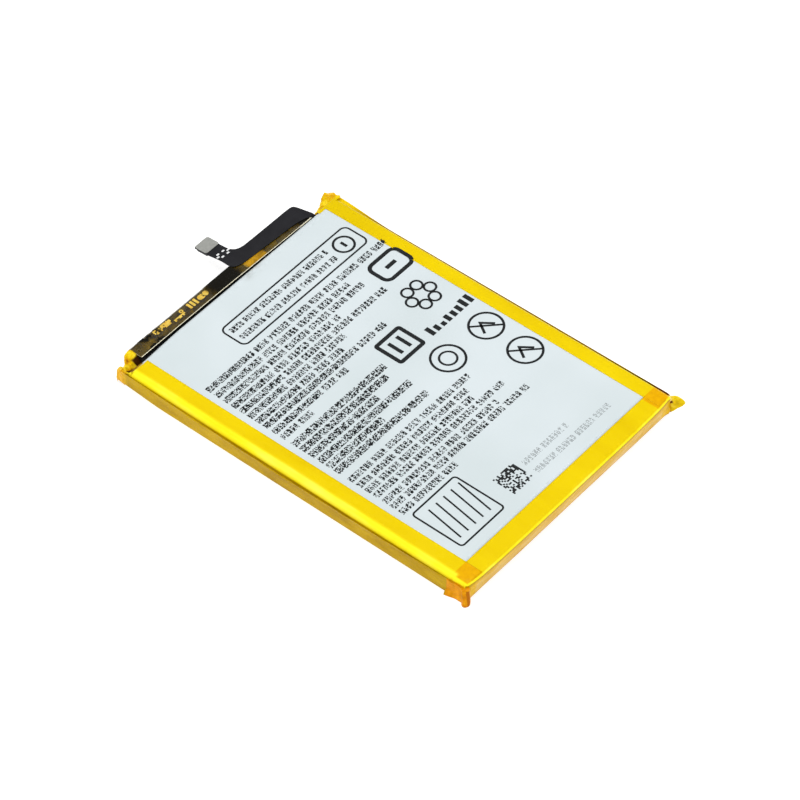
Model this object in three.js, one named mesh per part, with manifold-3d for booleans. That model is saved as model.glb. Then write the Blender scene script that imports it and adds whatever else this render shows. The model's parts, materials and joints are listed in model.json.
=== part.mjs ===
// Flat lithium-ion pouch cell with its protection board and a short flex lead.
// Units are millimetres. +X runs across the cell, +Y towards the protection board,
// +Z out of the labelled face. The origin is the centre of the flat back face.
import * as THREE from 'three';
import { mergeVertices } from 'three/addons/utils/BufferGeometryUtils.js';
import Module from 'manifold-3d';

const wasm = await Module();
wasm.setup();

// ---------- driving dimensions ----------
const CELL = { width: 66, thickness: 5.6, bottomY: -47.5, faceTopY: 42.5, terraceTopY: 47.5 };
const FILM = 0.13;            // pouch laminate
const TAPE = 0.05;            // adhesive tape
const SLIP = 0.01;            // clearance between films that lie on each other

const TERRACE_FILM_Y = 47.0;   // where the sealed films are trimmed

// Levels through the thickness.
const RIM_LIFT = 0.08;        // the back sheet's rim sits this much above its flat middle
const RIM_TOP = RIM_LIFT + FILM;
const SEAL_BOTTOM = RIM_TOP + SLIP;
const SEAL_TOP = SEAL_BOTTOM + FILM;
const CUP_TOP = 5.46;
const LABEL_BOTTOM = CUP_TOP + SLIP;

// The cup and the folded side seals.
const CUP_HALF_WIDTH = 32.6;
const CUP_BOTTOM_Y = CELL.bottomY + 0.08;
const CUP_WALL_FOOT = 0.4;    // the wall meets the turned-up seal here
const SHOULDER = 1.2;         // roll-over radius along the sides
const END_SHOULDER = 0.9;     // and at the bottom end and the terrace end
const SEAL_FOLD = { x: 32.4, z: 0.62, height: 4.5, bottomY: -47.2, topY: 45.8 };
const SEAL_OUTER_RADIUS = 0.475;
const SEAL_INNER_RADIUS = SEAL_OUTER_RADIUS - FILM - 2 * SLIP;

// The wound electrode roll.
const ROLL = { centreZ: 2.77, halfWidth: 32.3, radius: 2.46, coreRadius: 0.12 };
const LAYERS = {
  inner_separator: { offset: 0, thickness: 0.03, fromY: -45.4, toY: 41.0 },
  cathode_sheet: { offset: 0.04, thickness: 0.11, fromY: -44.6, toY: 40.2 },
  outer_separator: { offset: 0.16, thickness: 0.03, fromY: -45.4, toY: 41.0 },
  anode_sheet: { offset: 0.2, thickness: 0.13, fromY: -45.0, toY: 40.6 },
};
const WINDING_PITCH = 0.34;
const ARC_STEPS = 5;

// The two current tabs, centred on these places across the cell.
const TABS = { positive: 7.5, negative: -14 };
const TAB = { width: 5, thickness: 0.1, seamZ: 0.37, sealantMargin: 1 };

// The protection board and what it carries.
const BOARD = { x0: -27.2, x1: 22.8, y0: 43.9, y1: 47.1, bottom: 4.05, top: 4.5 };
const WRAP_TOP = 4.66;
const PAD_HEIGHT = 0.04;

// The flex lead: an arm on the board, a neck and a tip that carries the connector.
const FLEX = { bottom: 4.71, top: 4.86, left: 3.4, right: 7.2 };
const NECK = { hingeY: 49.3, hingeZ: 4.785, droop: -9, length: 3.9, hingeGap: 0.1 };
const TIP = { droop: 4.5, length: 4.0, left: 3.25, right: 7.5 };
const CONNECTOR = { length: 3.0, width: 3.5, height: 0.75, wall: 0.45, contactsPerRow: 3 };

// ---------- materials ----------
function surface(color, roughness, metalness = 0) {
  return new THREE.MeshStandardMaterial({ color, roughness, metalness });
}

const LOOKS = {
  laminate: surface(0xd9dcdf, 0.42, 0.2),
  yellowTape: surface(0xf0d010, 0.28),
  amberTape: surface(0x7a6228, 0.3),
  label: surface(0xe2eaec, 0.55),
  cathode: surface(0x2b2c2e, 0.8),
  anode: surface(0x47403a, 0.75),
  separator: surface(0xf4f5f3, 0.7),
  aluminium: surface(0xc9ccd0, 0.35, 1),
  nickel: surface(0xb9b4a8, 0.32, 1),
  sealant: surface(0xe8e4d2, 0.5),
  foam: surface(0x2a2b2c, 0.9),
  board: surface(0x1f2a22, 0.5),
  moulding: surface(0x17181a, 0.55),
  ceramic: surface(0xa98f6c, 0.5),
  resistor: surface(0x1c1d20, 0.45),
  gold: surface(0xd9ab3f, 0.28, 1),
  flex: surface(0x2a2d30, 0.6),
  stiffener: surface(0xa8a8a0, 0.5),
};

const cell = new THREE.Group();
const neckGroup = new THREE.Group();
const tipGroup = new THREE.Group();
neckGroup.position.set(0, NECK.hingeY, NECK.hingeZ);
neckGroup.rotation.x = THREE.MathUtils.degToRad(NECK.droop);
tipGroup.position.set(0, NECK.length, 0);
tipGroup.rotation.x = THREE.MathUtils.degToRad(TIP.droop);
neckGroup.add(tipGroup);
cell.add(neckGroup);

function addPart(name, geometry, look, parent = cell) {
  const mesh = new THREE.Mesh(geometry, LOOKS[look]);
  mesh.name = name;
  parent.add(mesh);
}

// ---------- outlines and solids ----------
function arc(cx, cy, radius, fromDegrees, toDegrees, steps) {
  const points = [];
  for (let i = 0; i <= steps; i += 1) {
    const angle = THREE.MathUtils.degToRad(fromDegrees + ((toDegrees - fromDegrees) * i) / steps);
    points.push([cx + radius * Math.cos(angle), cy + radius * Math.sin(angle)]);
  }
  return points;
}

function shapeOf(points) {
  return new THREE.Shape(points.map(([a, b]) => new THREE.Vector2(a, b)));
}

// One side of a strip: the path moved sideways by a distance, with mitred corners.
function offsetPath(path, distance) {
  return path.map(([x, y], i) => {
    const before = path[Math.max(i - 1, 0)];
    const after = path[Math.min(i + 1, path.length - 1)];
    const into = new THREE.Vector2(x - before[0], y - before[1]).normalize();
    const out = new THREE.Vector2(after[0] - x, after[1] - y).normalize();
    const first = into.lengthSq() ? into : out;
    const second = out.lengthSq() ? out : into;
    const normal = new THREE.Vector2(-first.y - second.y, first.x + second.x).normalize();
    const mitre = distance / (normal.x * -first.y + normal.y * first.x);
    return [x + normal.x * mitre, y + normal.y * mitre];
  });
}

function strip(path, thickness) {
  const left = offsetPath(path, thickness / 2);
  const right = offsetPath(path, -thickness / 2);
  return shapeOf([...right, ...left.reverse()]);
}

function extrude(shape, depth) {
  return new THREE.ExtrudeGeometry(shape, { depth, bevelEnabled: false, curveSegments: 6 });
}

// An outline in X and Y, raised from one level to another.
function raised(shape, z0, z1) {
  return extrude(shape, z1 - z0).translate(0, 0, z0);
}

// A section in X and Z, run along Y.
function alongY(section, y0, y1) {
  return extrude(section, y1 - y0).rotateX(Math.PI / 2).translate(0, y1, 0);
}

// A section in Y and Z, run along X.
function alongX(section, x0, x1) {
  const turn = new THREE.Matrix4().makeBasis(
    new THREE.Vector3(0, 1, 0),
    new THREE.Vector3(0, 0, 1),
    new THREE.Vector3(1, 0, 0),
  );
  return extrude(section, x1 - x0).applyMatrix4(turn).translate(x0, 0, 0);
}

function box(x0, x1, y0, y1, z0, z1) {
  const geometry = new THREE.BoxGeometry(x1 - x0, y1 - y0, z1 - z0);
  return geometry.translate((x0 + x1) / 2, (y0 + y1) / 2, (z0 + z1) / 2);
}

function roundedRect(x0, x1, y0, y1, radius, steps = 3) {
  return [
    ...arc(x1 - radius, y0 + radius, radius, -90, 0, steps),
    ...arc(x1 - radius, y1 - radius, radius, 0, 90, steps),
    ...arc(x0 + radius, y1 - radius, radius, 90, 180, steps),
    ...arc(x0 + radius, y0 + radius, radius, 180, 270, steps),
  ];
}

// How far an edge rolled over by a radius has moved in at a level below the top.
function rollInset(radius, belowTop) {
  const rise = Math.max(radius - belowTop, 0);
  return radius - Math.sqrt(radius * radius - rise * rise);
}

// A block whose upper edge is rolled over, like a deep-drawn cup: one radius along the
// sides and another at the two ends.
function shoulderBlock({ halfWidth, y0, y1, z0, z1, corner, sideRadius, endRadius }) {
  const depths = [z1 - z0];
  for (let angle = 0; angle <= 90; angle += 15) {
    depths.push(sideRadius * (1 - Math.sin(THREE.MathUtils.degToRad(angle))));
  }
  const rings = depths.map((depth) => {
    const side = rollInset(sideRadius, depth);
    const end = rollInset(endRadius, depth);
    const radius = Math.max(corner - side, 0.4);
    return {
      z: z1 - depth,
      points: roundedRect(-halfWidth + side, halfWidth - side, y0 + end, y1 - end, radius, 4),
    };
  });
  const count = rings[0].points.length;
  const positions = rings.flatMap((ring) => ring.points.flatMap(([x, y]) => [x, y, ring.z]));
  const index = [];
  for (let level = 0; level < rings.length - 1; level += 1) {
    for (let i = 0; i < count; i += 1) {
      const a = level * count + i;
      const b = level * count + ((i + 1) % count);
      index.push(a, b, b + count, a, b + count, a + count);
    }
  }
  const lastRing = (rings.length - 1) * count;
  for (let i = 1; i < count - 1; i += 1) {
    index.push(0, i + 1, i);
    index.push(lastRing, lastRing + i, lastRing + i + 1);
  }
  const geometry = new THREE.BufferGeometry();
  geometry.setAttribute('position', new THREE.Float32BufferAttribute(positions, 3));
  geometry.setIndex(index);
  return geometry;
}

function toSolid(geometry) {
  const bare = geometry.clone();
  bare.deleteAttribute('normal');
  bare.deleteAttribute('uv');
  const merged = mergeVertices(bare, 1e-5);
  return new wasm.Manifold(new wasm.Mesh({
    numProp: 3,
    vertProperties: new Float32Array(merged.attributes.position.array),
    triVerts: new Uint32Array(merged.index.array),
  }));
}

function toGeometry(solid) {
  const mesh = solid.getMesh();
  const geometry = new THREE.BufferGeometry();
  geometry.setAttribute('position', new THREE.BufferAttribute(mesh.vertProperties, 3));
  geometry.setIndex(new THREE.BufferAttribute(mesh.triVerts, 1));
  geometry.computeVertexNormals();
  return geometry;
}

// Joins the first list of pieces and cuts the second list from the result.
function carve(joined, cut = []) {
  let solid = toSolid(joined[0]);
  joined.slice(1).forEach((piece) => {
    solid = solid.add(toSolid(piece));
  });
  cut.forEach((piece) => {
    solid = solid.subtract(toSolid(piece));
  });
  return toGeometry(solid);
}

function mirrored(path, side) {
  const copy = path.map(([x, y]) => [x * side, y]);
  return side < 0 ? copy : copy.reverse();
}

// ---------- pouch ----------
// A side seal leaves the cell at its foot, turns up and stands against the cup's wall.
function foldedSeal(radius, side) {
  const path = [
    [SEAL_FOLD.x + radius, SEAL_FOLD.height],
    ...arc(SEAL_FOLD.x, SEAL_FOLD.z, radius, 0, -90, 4),
    [SEAL_FOLD.x - 0.35, SEAL_FOLD.z - radius],
  ];
  return alongY(strip(mirrored(path, side), FILM), SEAL_FOLD.bottomY, SEAL_FOLD.topY);
}

// The seal's folded end stands out past the cell's bottom corner as a small ear.
function cornerEar(side, length, turn) {
  const ear = { thickness: 0.16, bottom: 1.0, top: 4.2 };
  const root = { x: SEAL_FOLD.x + SEAL_OUTER_RADIUS - 0.02, y: SEAL_FOLD.bottomY + 0.12 };
  const profile = shapeOf([
    [0, ear.bottom],
    [length * 0.6, ear.bottom + 0.4],
    [length, ear.bottom + 1.8],
    [length * 0.75, ear.top - 0.3],
    [0, ear.top],
  ]);
  const plate = extrude(profile, ear.thickness).translate(0, 0, -ear.thickness / 2);
  plate.rotateX(Math.PI / 2);
  plate.rotateZ(THREE.MathUtils.degToRad(-90 + side * turn));
  return plate.translate(root.x * side, root.y, 0);
}

function tabBridge(centre) {
  const half = TAB.width / 2 + TAB.sealantMargin;
  const inside = half + 0.02;
  const outside = half + 0.13;
  const y0 = CELL.faceTopY - 0.1;
  return {
    cover: box(centre - outside, centre + outside, y0, TERRACE_FILM_Y, SEAL_BOTTOM, 0.65),
    tunnel: box(centre - inside, centre + inside, y0 - 0.5, 47.4, 0.1, 0.52),
  };
}

function makePouchCup() {
  const outer = {
    halfWidth: CUP_HALF_WIDTH,
    y0: CUP_BOTTOM_Y,
    y1: CELL.faceTopY,
    z0: CUP_WALL_FOOT,
    z1: CUP_TOP,
    corner: 1.6,
    sideRadius: SHOULDER,
    endRadius: END_SHOULDER,
  };
  const inner = {
    ...outer,
    halfWidth: outer.halfWidth - FILM,
    y0: outer.y0 + FILM,
    y1: outer.y1 - FILM,
    z0: CUP_WALL_FOOT - 0.2,
    z1: CUP_TOP - FILM,
    sideRadius: SHOULDER - FILM,
    endRadius: END_SHOULDER - FILM,
  };
  const cup = carve([shoulderBlock(outer)], [shoulderBlock(inner)]);
  const bridges = Object.values(TABS).map(tabBridge);
  const footHalf = SEAL_FOLD.x - 0.2;
  const footTop = CUP_WALL_FOOT + 0.05;
  const terrace = box(-footHalf, footHalf, CELL.faceTopY - 0.05, TERRACE_FILM_Y, SEAL_BOTTOM, SEAL_TOP);
  const terraceFoot = box(-footHalf, footHalf, outer.y1 - FILM, outer.y1, SEAL_BOTTOM, footTop);
  const bottomFoot = box(-footHalf + 1, footHalf - 1, outer.y0, outer.y0 + FILM, SEAL_BOTTOM, footTop);
  return carve(
    [
      cup,
      terrace,
      terraceFoot,
      bottomFoot,
      foldedSeal(SEAL_INNER_RADIUS, 1),
      foldedSeal(SEAL_INNER_RADIUS, -1),
      ...bridges.map((bridge) => bridge.cover),
    ],
    bridges.map((bridge) => bridge.tunnel),
  );
}

function makePouchBackSheet() {
  const middle = box(-29.4, 29.4, -44.2, 44.5, 0, RIM_TOP);
  const hollow = box(-28.8, 28.8, -43.6, 43.9, FILM, RIM_TOP + 0.2);
  const rim = box(-32.3, 32.3, CELL.bottomY + 0.1, TERRACE_FILM_Y, RIM_LIFT, RIM_TOP);
  return carve(
    [
      rim,
      middle,
      foldedSeal(SEAL_OUTER_RADIUS, 1),
      foldedSeal(SEAL_OUTER_RADIUS, -1),
      cornerEar(1, 3.0, 34),
      cornerEar(-1, 1.4, 12),
    ],
    [hollow],
  );
}

addPart('pouch_cup', makePouchCup(), 'laminate');
addPart('pouch_back_sheet', makePouchBackSheet(), 'laminate');

// ---------- electrode roll ----------
// The winding is a flat spiral: half turns about two centres, joined by straight runs.
function windingPath(offset) {
  const reach = ROLL.halfWidth - ROLL.radius;
  const outerOffset = LAYERS.anode_sheet.offset + LAYERS.anode_sheet.thickness;
  const turns = (ROLL.radius - ROLL.coreRadius - outerOffset) / WINDING_PITCH;
  const stepsPerTurn = 2 * ARC_STEPS;
  const steps = Math.floor(turns * stepsPerTurn);
  const path = [];
  for (let i = 0; i <= steps; i += 1) {
    // Half a step is left before each straight run, so a run starts and ends on whole steps.
    const angle = (Math.PI * i) / ARC_STEPS - Math.PI / 2;
    const radius = ROLL.coreRadius + offset + (WINDING_PITCH * i) / stepsPerTurn;
    const point = (centre) => [
      centre + radius * Math.cos(angle),
      ROLL.centreZ + radius * Math.sin(angle),
    ];
    const atRun = i % ARC_STEPS === 0;
    const halfTurn = Math.floor(i / ARC_STEPS);
    const side = halfTurn % 2 === 0 ? 1 : -1;
    if (atRun && i > 0) {
      path.push(point(-side * reach));
    }
    if (!atRun || i < steps) {
      path.push(point(side * reach));
    }
  }
  return path;
}

Object.entries(LAYERS).forEach(([name, layer]) => {
  const inside = windingPath(layer.offset);
  const outside = windingPath(layer.offset + layer.thickness);
  const section = shapeOf([...outside, ...inside.reverse()]);
  const look = name.includes('separator') ? 'separator' : name.split('_')[0];
  addPart(name, alongY(section, layer.fromY, layer.toY), look);
});

const ROLL_TOP = ROLL.centreZ + ROLL.radius;
addPart('winding_end_tape', box(-12, 2, -40, 36, ROLL_TOP + 0.02, ROLL_TOP + 0.06), 'yellowTape');

// ---------- current tabs ----------
// Each tab leaves the roll's core, passes through the seal and folds back under the board.
const TAB_PATH = [
  [22, ROLL.centreZ],
  [41.3, ROLL.centreZ],
  [41.85, 0.7],
  ...arc(42.12, 0.62, 0.25, 180, 270, 3),
  ...arc(46.95, 0.62, 0.25, -90, 0, 4),
  ...arc(46.95, 3.57, 0.25, 0, 90, 4),
  [44.6, 3.82],
];

Object.entries(TABS).forEach(([pole, centre]) => {
  const look = pole === 'positive' ? 'aluminium' : 'nickel';
  const x0 = centre - TAB.width / 2;
  const x1 = centre + TAB.width / 2;
  addPart(`${pole}_tab`, alongX(strip(TAB_PATH, TAB.thickness), x0, x1), look);

  const margin = TAB.sealantMargin;
  const sleeve = box(x0 - margin, x1 + margin, 42.6, 46.4, SEAL_BOTTOM, 0.51);
  const slot = box(x0 - 0.02, x1 + 0.02, 42.5, 46.5, 0.31, 0.43);
  addPart(`${pole}_tab_sealant`, carve([sleeve], [slot]), 'sealant');

  const plate = roundedRect(x0 - 0.3, x1 + 0.3, 44.1, 46.9, 0.3, 2);
  addPart(`${pole}_weld_plate`, raised(shapeOf(plate), 3.9, BOARD.bottom), 'nickel');
});

// ---------- label and tapes ----------
const LABEL = { x0: -29.2, x1: 29.6, y0: -43.66, y1: 41.8 };
addPart(
  'printed_label',
  raised(shapeOf(roundedRect(LABEL.x0, LABEL.x1, LABEL.y0, LABEL.y1, 0.3, 2)), LABEL_BOTTOM, 5.52),
  'label',
);

// A side tape runs from the face over the shoulder, down the folded seal and under the cell.
function sideTape(side, innerX) {
  const top = CELL.thickness - TAPE / 2;
  const face = CELL.width / 2 - TAPE / 2;
  const shoulderX = CUP_HALF_WIDTH - SHOULDER;
  const shoulderRadius = top - (CUP_TOP - SHOULDER);
  const path = [
    [innerX, top],
    ...arc(shoulderX, CUP_TOP - SHOULDER, shoulderRadius, 90, 24, 5),
    [SEAL_FOLD.x + 0.2, SEAL_FOLD.height + 0.07],
    [face, SEAL_FOLD.height + 0.07],
    ...arc(SEAL_FOLD.x, SEAL_FOLD.z, face - SEAL_FOLD.x, 0, -90, 4),
    [30.5, SEAL_FOLD.z - (face - SEAL_FOLD.x)],
  ];
  return alongY(strip(mirrored(path, side), TAPE), -47.0, 42.3);
}

addPart('near_side_tape', sideTape(-1, 27.9), 'yellowTape');
addPart('far_side_tape', sideTape(1, 28.5), 'yellowTape');

// The bottom end tape wraps the rolled bottom edge from the face to the back.
const END_TAPE_PATH = [
  [-43.7, LABEL_BOTTOM + TAPE / 2],
  ...arc(CUP_BOTTOM_Y + END_SHOULDER, CUP_TOP - END_SHOULDER, END_SHOULDER + 0.035, 90, 180, 5),
  [CELL.bottomY + 0.045, 0.045],
  [-44.5, 0.045],
];
addPart('bottom_end_tape', alongX(strip(END_TAPE_PATH, TAPE), -30.35, 30.35), 'yellowTape');

// At the terrace corners the tape closes round the seal's end and up over the board's end.
function terraceCornerTape(side, innerX, wallTop) {
  const wall = [
    [CELL.width / 2 - 0.025, CELL.faceTopY - 0.1],
    ...arc(CELL.width / 2 - 1.425, 45.9, 1.4, 0, 90, 4),
    [innerX, 47.3],
  ];
  const around = raised(strip(mirrored(wall, side), TAPE), 0.12, wallTop);
  const x0 = Math.min(side * innerX, side * 31.6);
  const x1 = Math.max(side * innerX, side * 31.6);
  const over = box(x0, x1, 42.75, 47.3, wallTop - TAPE, wallTop);
  return carve([around, over]);
}

addPart('near_terrace_corner_tape', terraceCornerTape(-1, 27.6, 4.3), 'yellowTape');
addPart('far_terrace_corner_tape', terraceCornerTape(1, 26.3, 4.5), 'yellowTape');

// ---------- protection board ----------
addPart('terrace_insulating_pad', box(-27, 23, 42.8, 46.9, 0.68, 2.95), 'foam');

const boardOutline = shapeOf(roundedRect(BOARD.x0, BOARD.x1, BOARD.y0, BOARD.y1, 0.35, 3));
[-26.3, 21.9].forEach((x) => {
  const hole = new THREE.Path();
  hole.absarc(x, 45.5, 0.35, 0, Math.PI * 2, true);
  boardOutline.holes.push(hole);
});
addPart('protection_board', raised(boardOutline, BOARD.bottom, BOARD.top), 'board');

// Parts that hang under the board: centre along X, centre along Y, length, width, height.
const HANGING_PARTS = {
  mosfet_package: { x: 15.2, y: 45.5, length: 4.4, width: 2.4, height: 0.9, look: 'moulding' },
  protection_ic: { x: -2.2, y: 45.5, length: 2.9, width: 1.8, height: 0.95, look: 'moulding' },
  thermistor: { x: -22.2, y: 45.5, length: 1.6, width: 0.8, height: 0.7, look: 'ceramic' },
};
for (let i = 0; i < 4; i += 1) {
  HANGING_PARTS[`chip_capacitor_${i + 1}`] = {
    x: -6.6 - 1.0 * i, y: 45.9, length: 0.5, width: 1.0, height: 0.5, look: 'ceramic',
  };
}
for (let i = 0; i < 3; i += 1) {
  HANGING_PARTS[`chip_resistor_${i + 1}`] = {
    x: 0.9 + 1.0 * i, y: 45.2, length: 0.5, width: 1.0, height: 0.35, look: 'resistor',
  };
}
Object.entries(HANGING_PARTS).forEach(([name, part]) => {
  const x0 = part.x - part.length / 2;
  const y0 = part.y - part.width / 2;
  const outline = roundedRect(x0, x0 + part.length, y0, y0 + part.width, 0.08, 1);
  addPart(name, raised(shapeOf(outline), BOARD.bottom - part.height, BOARD.bottom), part.look);
});

// Bare gold pads on the board's outer side.
function addPad(name, points, hole) {
  const outline = shapeOf(points);
  if (hole) {
    const path = new THREE.Path();
    path.absarc(hole.x, hole.y, hole.radius, 0, Math.PI * 2, true);
    outline.holes.push(path);
  }
  addPart(name, raised(outline, BOARD.top, BOARD.top + PAD_HEIGHT), 'gold');
}

for (let i = 0; i < 4; i += 1) {
  const x = -19.7 + 1.05 * i;
  addPad(`square_test_pad_${i + 1}`, roundedRect(x, x + 0.75, 46.05, 46.75, 0.1, 1));
}
addPad('ring_test_pad', arc(-12.5, 46.3, 0.5, 0, 345, 15), { x: -12.5, y: 46.3, radius: 0.22 });
for (let i = 0; i < 3; i += 1) {
  const x = -10.6 + 0.95 * i;
  addPad(`bar_test_pad_${i + 1}`, roundedRect(x, x + 0.6, 45.1, 46.8, 0.1, 1));
}
for (let i = 0; i < 2; i += 1) {
  addPad(`round_test_pad_${i + 1}`, arc(-7.0 + 1.6 * i, 45.9, 0.68, 0, 345, 15));
}
addPad('sense_pad', roundedRect(5.8, 10.2, 44.15, 45.3, 0.15, 2));

// The wrap tape covers the board and closes the terrace's outer edge.
const WRAP_PATH = [
  [BOARD.y0 - 0.02, WRAP_TOP - TAPE / 2],
  ...arc(CELL.terraceTopY - 0.4, WRAP_TOP - 0.4, 0.4 - TAPE / 2, 90, 0, 4),
  [CELL.terraceTopY - TAPE / 2, 0.12],
];
addPart('board_wrap_tape', alongX(strip(WRAP_PATH, TAPE), -27.3, 22.9), 'amberTape');

// ---------- flex lead ----------
const FOLD_LEG = { x0: 23.4, x1: 26.1, y: 43.05 };
const armOutline = new THREE.Shape();
armOutline.moveTo(FLEX.left, NECK.hingeY - NECK.hingeGap);
armOutline.lineTo(FLEX.left, 46.9);
armOutline.quadraticCurveTo(FLEX.left + 0.1, 45.7, 5.5, 45.5);
armOutline.lineTo(21.6, 44.7);
armOutline.quadraticCurveTo(23.0, 44.6, FOLD_LEG.x0, FOLD_LEG.y);
armOutline.lineTo(FOLD_LEG.x1, FOLD_LEG.y);
armOutline.lineTo(26.3, 43.9);
armOutline.lineTo(25.2, 47.8);
armOutline.quadraticCurveTo(25.0, 48.6, 23.9, 48.65);
armOutline.lineTo(12.5, 48.75);
armOutline.quadraticCurveTo(9.6, 48.9, 8.8, NECK.hingeY - NECK.hingeGap);
addPart(
  'flex_arm',
  carve([
    raised(armOutline, FLEX.bottom, FLEX.top),
    box(FOLD_LEG.x0, FOLD_LEG.x1, FOLD_LEG.y - 0.02, FOLD_LEG.y + 0.13, 3.86, FLEX.top),
    box(19.2, FOLD_LEG.x1, FOLD_LEG.y - 0.02, 46.4, 3.86, 4.01),
  ]),
  'flex',
);

const halfFlex = (FLEX.top - FLEX.bottom) / 2;
const neckOutline = new THREE.Shape();
neckOutline.moveTo(FLEX.left, NECK.hingeGap);
neckOutline.lineTo(8.6, NECK.hingeGap);
neckOutline.quadraticCurveTo(7.35, 0.45, FLEX.right, 1.5);
neckOutline.lineTo(FLEX.right + 0.15, NECK.length - NECK.hingeGap);
neckOutline.lineTo(FLEX.left, NECK.length - NECK.hingeGap);
addPart('flex_neck', raised(neckOutline, -halfFlex, halfFlex), 'flex', neckGroup);

const tipOutline = shapeOf([
  [TIP.left, NECK.hingeGap],
  [TIP.right, NECK.hingeGap],
  ...arc(TIP.right - 0.6, TIP.length - 0.6, 0.6, 0, 90, 4),
  ...arc(TIP.left + 0.3, TIP.length - 0.3, 0.3, 90, 180, 3),
]);
addPart('flex_tip', raised(tipOutline, -halfFlex, halfFlex), 'flex', tipGroup);

const stiffener = roundedRect(TIP.left + 0.15, TIP.right - 0.05, 0.45, TIP.length - 0.05, 0.45, 3);
addPart(
  'flex_stiffener',
  raised(shapeOf(stiffener), halfFlex + 0.03, halfFlex + 0.23),
  'stiffener',
  tipGroup,
);

// The connector hangs under the tip: a tray with a middle tongue and two rows of contacts.
function makeConnectorHousing() {
  const centreX = (TIP.left + TIP.right) / 2;
  const y0 = 0.6;
  const y1 = y0 + CONNECTOR.length;
  const x0 = centreX - CONNECTOR.width / 2;
  const x1 = centreX + CONNECTOR.width / 2;
  const top = -halfFlex - 0.03;
  const bottom = top - CONNECTOR.height;
  const body = raised(shapeOf(roundedRect(x0, x1, y0, y1, 0.2, 2)), bottom, top);
  const wall = CONNECTOR.wall;
  const recess = box(x0 + wall, x1 - wall, y0 + wall, y1 - wall, bottom - 0.1, top - 0.25);
  const end = wall + 0.4;
  const tongue = box(centreX - 0.45, centreX + 0.45, y0 + end, y1 - end, bottom + 0.1, top - 0.2);
  return {
    geometry: carve([carve([body], [recess]), tongue]),
    place: { centreX, x0, x1, y0, y1, top, bottom, floor: top - 0.25 },
  };
}

const housing = makeConnectorHousing();
addPart('connector_housing', housing.geometry, 'moulding', tipGroup);

const { centreX, x0: housingX0, x1: housingX1, y0: housingY0, y1: housingY1 } = housing.place;
const contactZ0 = housing.place.bottom + 0.15;
const contactZ1 = housing.place.floor - 0.02;
let contactNumber = 0;
[-1, 1].forEach((side) => {
  for (let i = 0; i < CONNECTOR.contactsPerRow; i += 1) {
    contactNumber += 1;
    const y = housingY0 + 1.0 + 0.5 * i;
    const x = centreX + side * 0.85;
    const spring = box(x - 0.12, x + 0.12, y - 0.1, y + 0.1, contactZ0, contactZ1);
    addPart(`connector_contact_${contactNumber}`, spring, 'gold', tipGroup);
  }
});
[[housingY0 - 0.2, housingY0 - 0.02], [housingY1 + 0.02, housingY1 + 0.2]].forEach(([y0, y1], i) => {
  const { bottom, top } = housing.place;
  const clip = box(housingX0 + 0.3, housingX1 - 0.3, y0, y1, bottom + 0.1, top);
  addPart(`connector_hold_down_${i + 1}`, clip, 'gold', tipGroup);
});

export default cell;
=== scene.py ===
"""A pouch battery cell with its protection board and flex lead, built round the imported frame.

Shapes are written in millimetres, in the part's own frame: +X across the cell, +Y towards the
protection board, +Z out of the labelled face. MM turns them into Blender's metres.
"""

import json
import math
import random

import bpy
from mathutils import Matrix, Vector, noise


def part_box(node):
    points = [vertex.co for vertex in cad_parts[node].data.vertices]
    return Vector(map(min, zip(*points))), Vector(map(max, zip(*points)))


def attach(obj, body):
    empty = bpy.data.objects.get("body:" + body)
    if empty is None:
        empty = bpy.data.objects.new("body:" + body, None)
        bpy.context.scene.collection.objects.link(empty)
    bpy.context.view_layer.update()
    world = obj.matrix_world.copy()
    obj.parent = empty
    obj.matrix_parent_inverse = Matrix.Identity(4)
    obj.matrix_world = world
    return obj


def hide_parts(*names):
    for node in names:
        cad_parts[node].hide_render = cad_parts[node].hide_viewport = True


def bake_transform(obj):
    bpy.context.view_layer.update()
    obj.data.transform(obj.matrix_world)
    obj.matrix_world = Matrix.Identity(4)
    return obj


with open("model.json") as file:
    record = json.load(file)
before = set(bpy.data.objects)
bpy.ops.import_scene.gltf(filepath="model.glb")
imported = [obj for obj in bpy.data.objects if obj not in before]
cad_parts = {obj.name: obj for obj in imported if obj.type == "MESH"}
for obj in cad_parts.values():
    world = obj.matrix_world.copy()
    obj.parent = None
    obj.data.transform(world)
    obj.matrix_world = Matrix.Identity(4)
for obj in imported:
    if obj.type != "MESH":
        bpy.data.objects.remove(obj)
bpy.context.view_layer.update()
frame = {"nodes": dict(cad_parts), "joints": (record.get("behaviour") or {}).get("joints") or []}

MM = 0.001
PACK, NECK, TIP = "pack", "flex_neck_body", "flex_tip_body"


def box_mm(node):
    """Lowest and highest corner of a CAD node, in millimetres."""
    lo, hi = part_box(node)
    return lo / MM, hi / MM


# ---------------------------------------------------------------- sizes read from the frame
SIDE_LO, SIDE_HI = box_mm("near_side_tape")
HALF_WIDTH = -SIDE_LO.x
TOP = SIDE_HI.z
BOTTOM_Y = box_mm("bottom_end_tape")[0].y
BOARD_LO, BOARD_HI = box_mm("protection_board")
WRAP_LO, WRAP_HI = box_mm("board_wrap_tape")
LABEL_LO, LABEL_HI = box_mm("printed_label")
FACE_TOP_Y = LABEL_HI.y + 0.85
NEAR_TAPE_X, FAR_TAPE_X, END_TAPE_Y = 27.9, 28.5, -43.7  # the tapes' inner edges on the face
HINGES = {joint["name"]: Vector(joint["pos_m"]) / MM for joint in frame["joints"]}

# ---------------------------------------------------------------- camera
# Angles in degrees, lengths in millimetres. aside shifts the view to the right and up.
CAMERA = {
    "azimuth": -48.06,
    "elevation": 47.72,
    "roll": -2.05,
    "distance": 835.6,
    "lens": 183.05,
    "aside": (2.13, -0.95),
}


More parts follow.
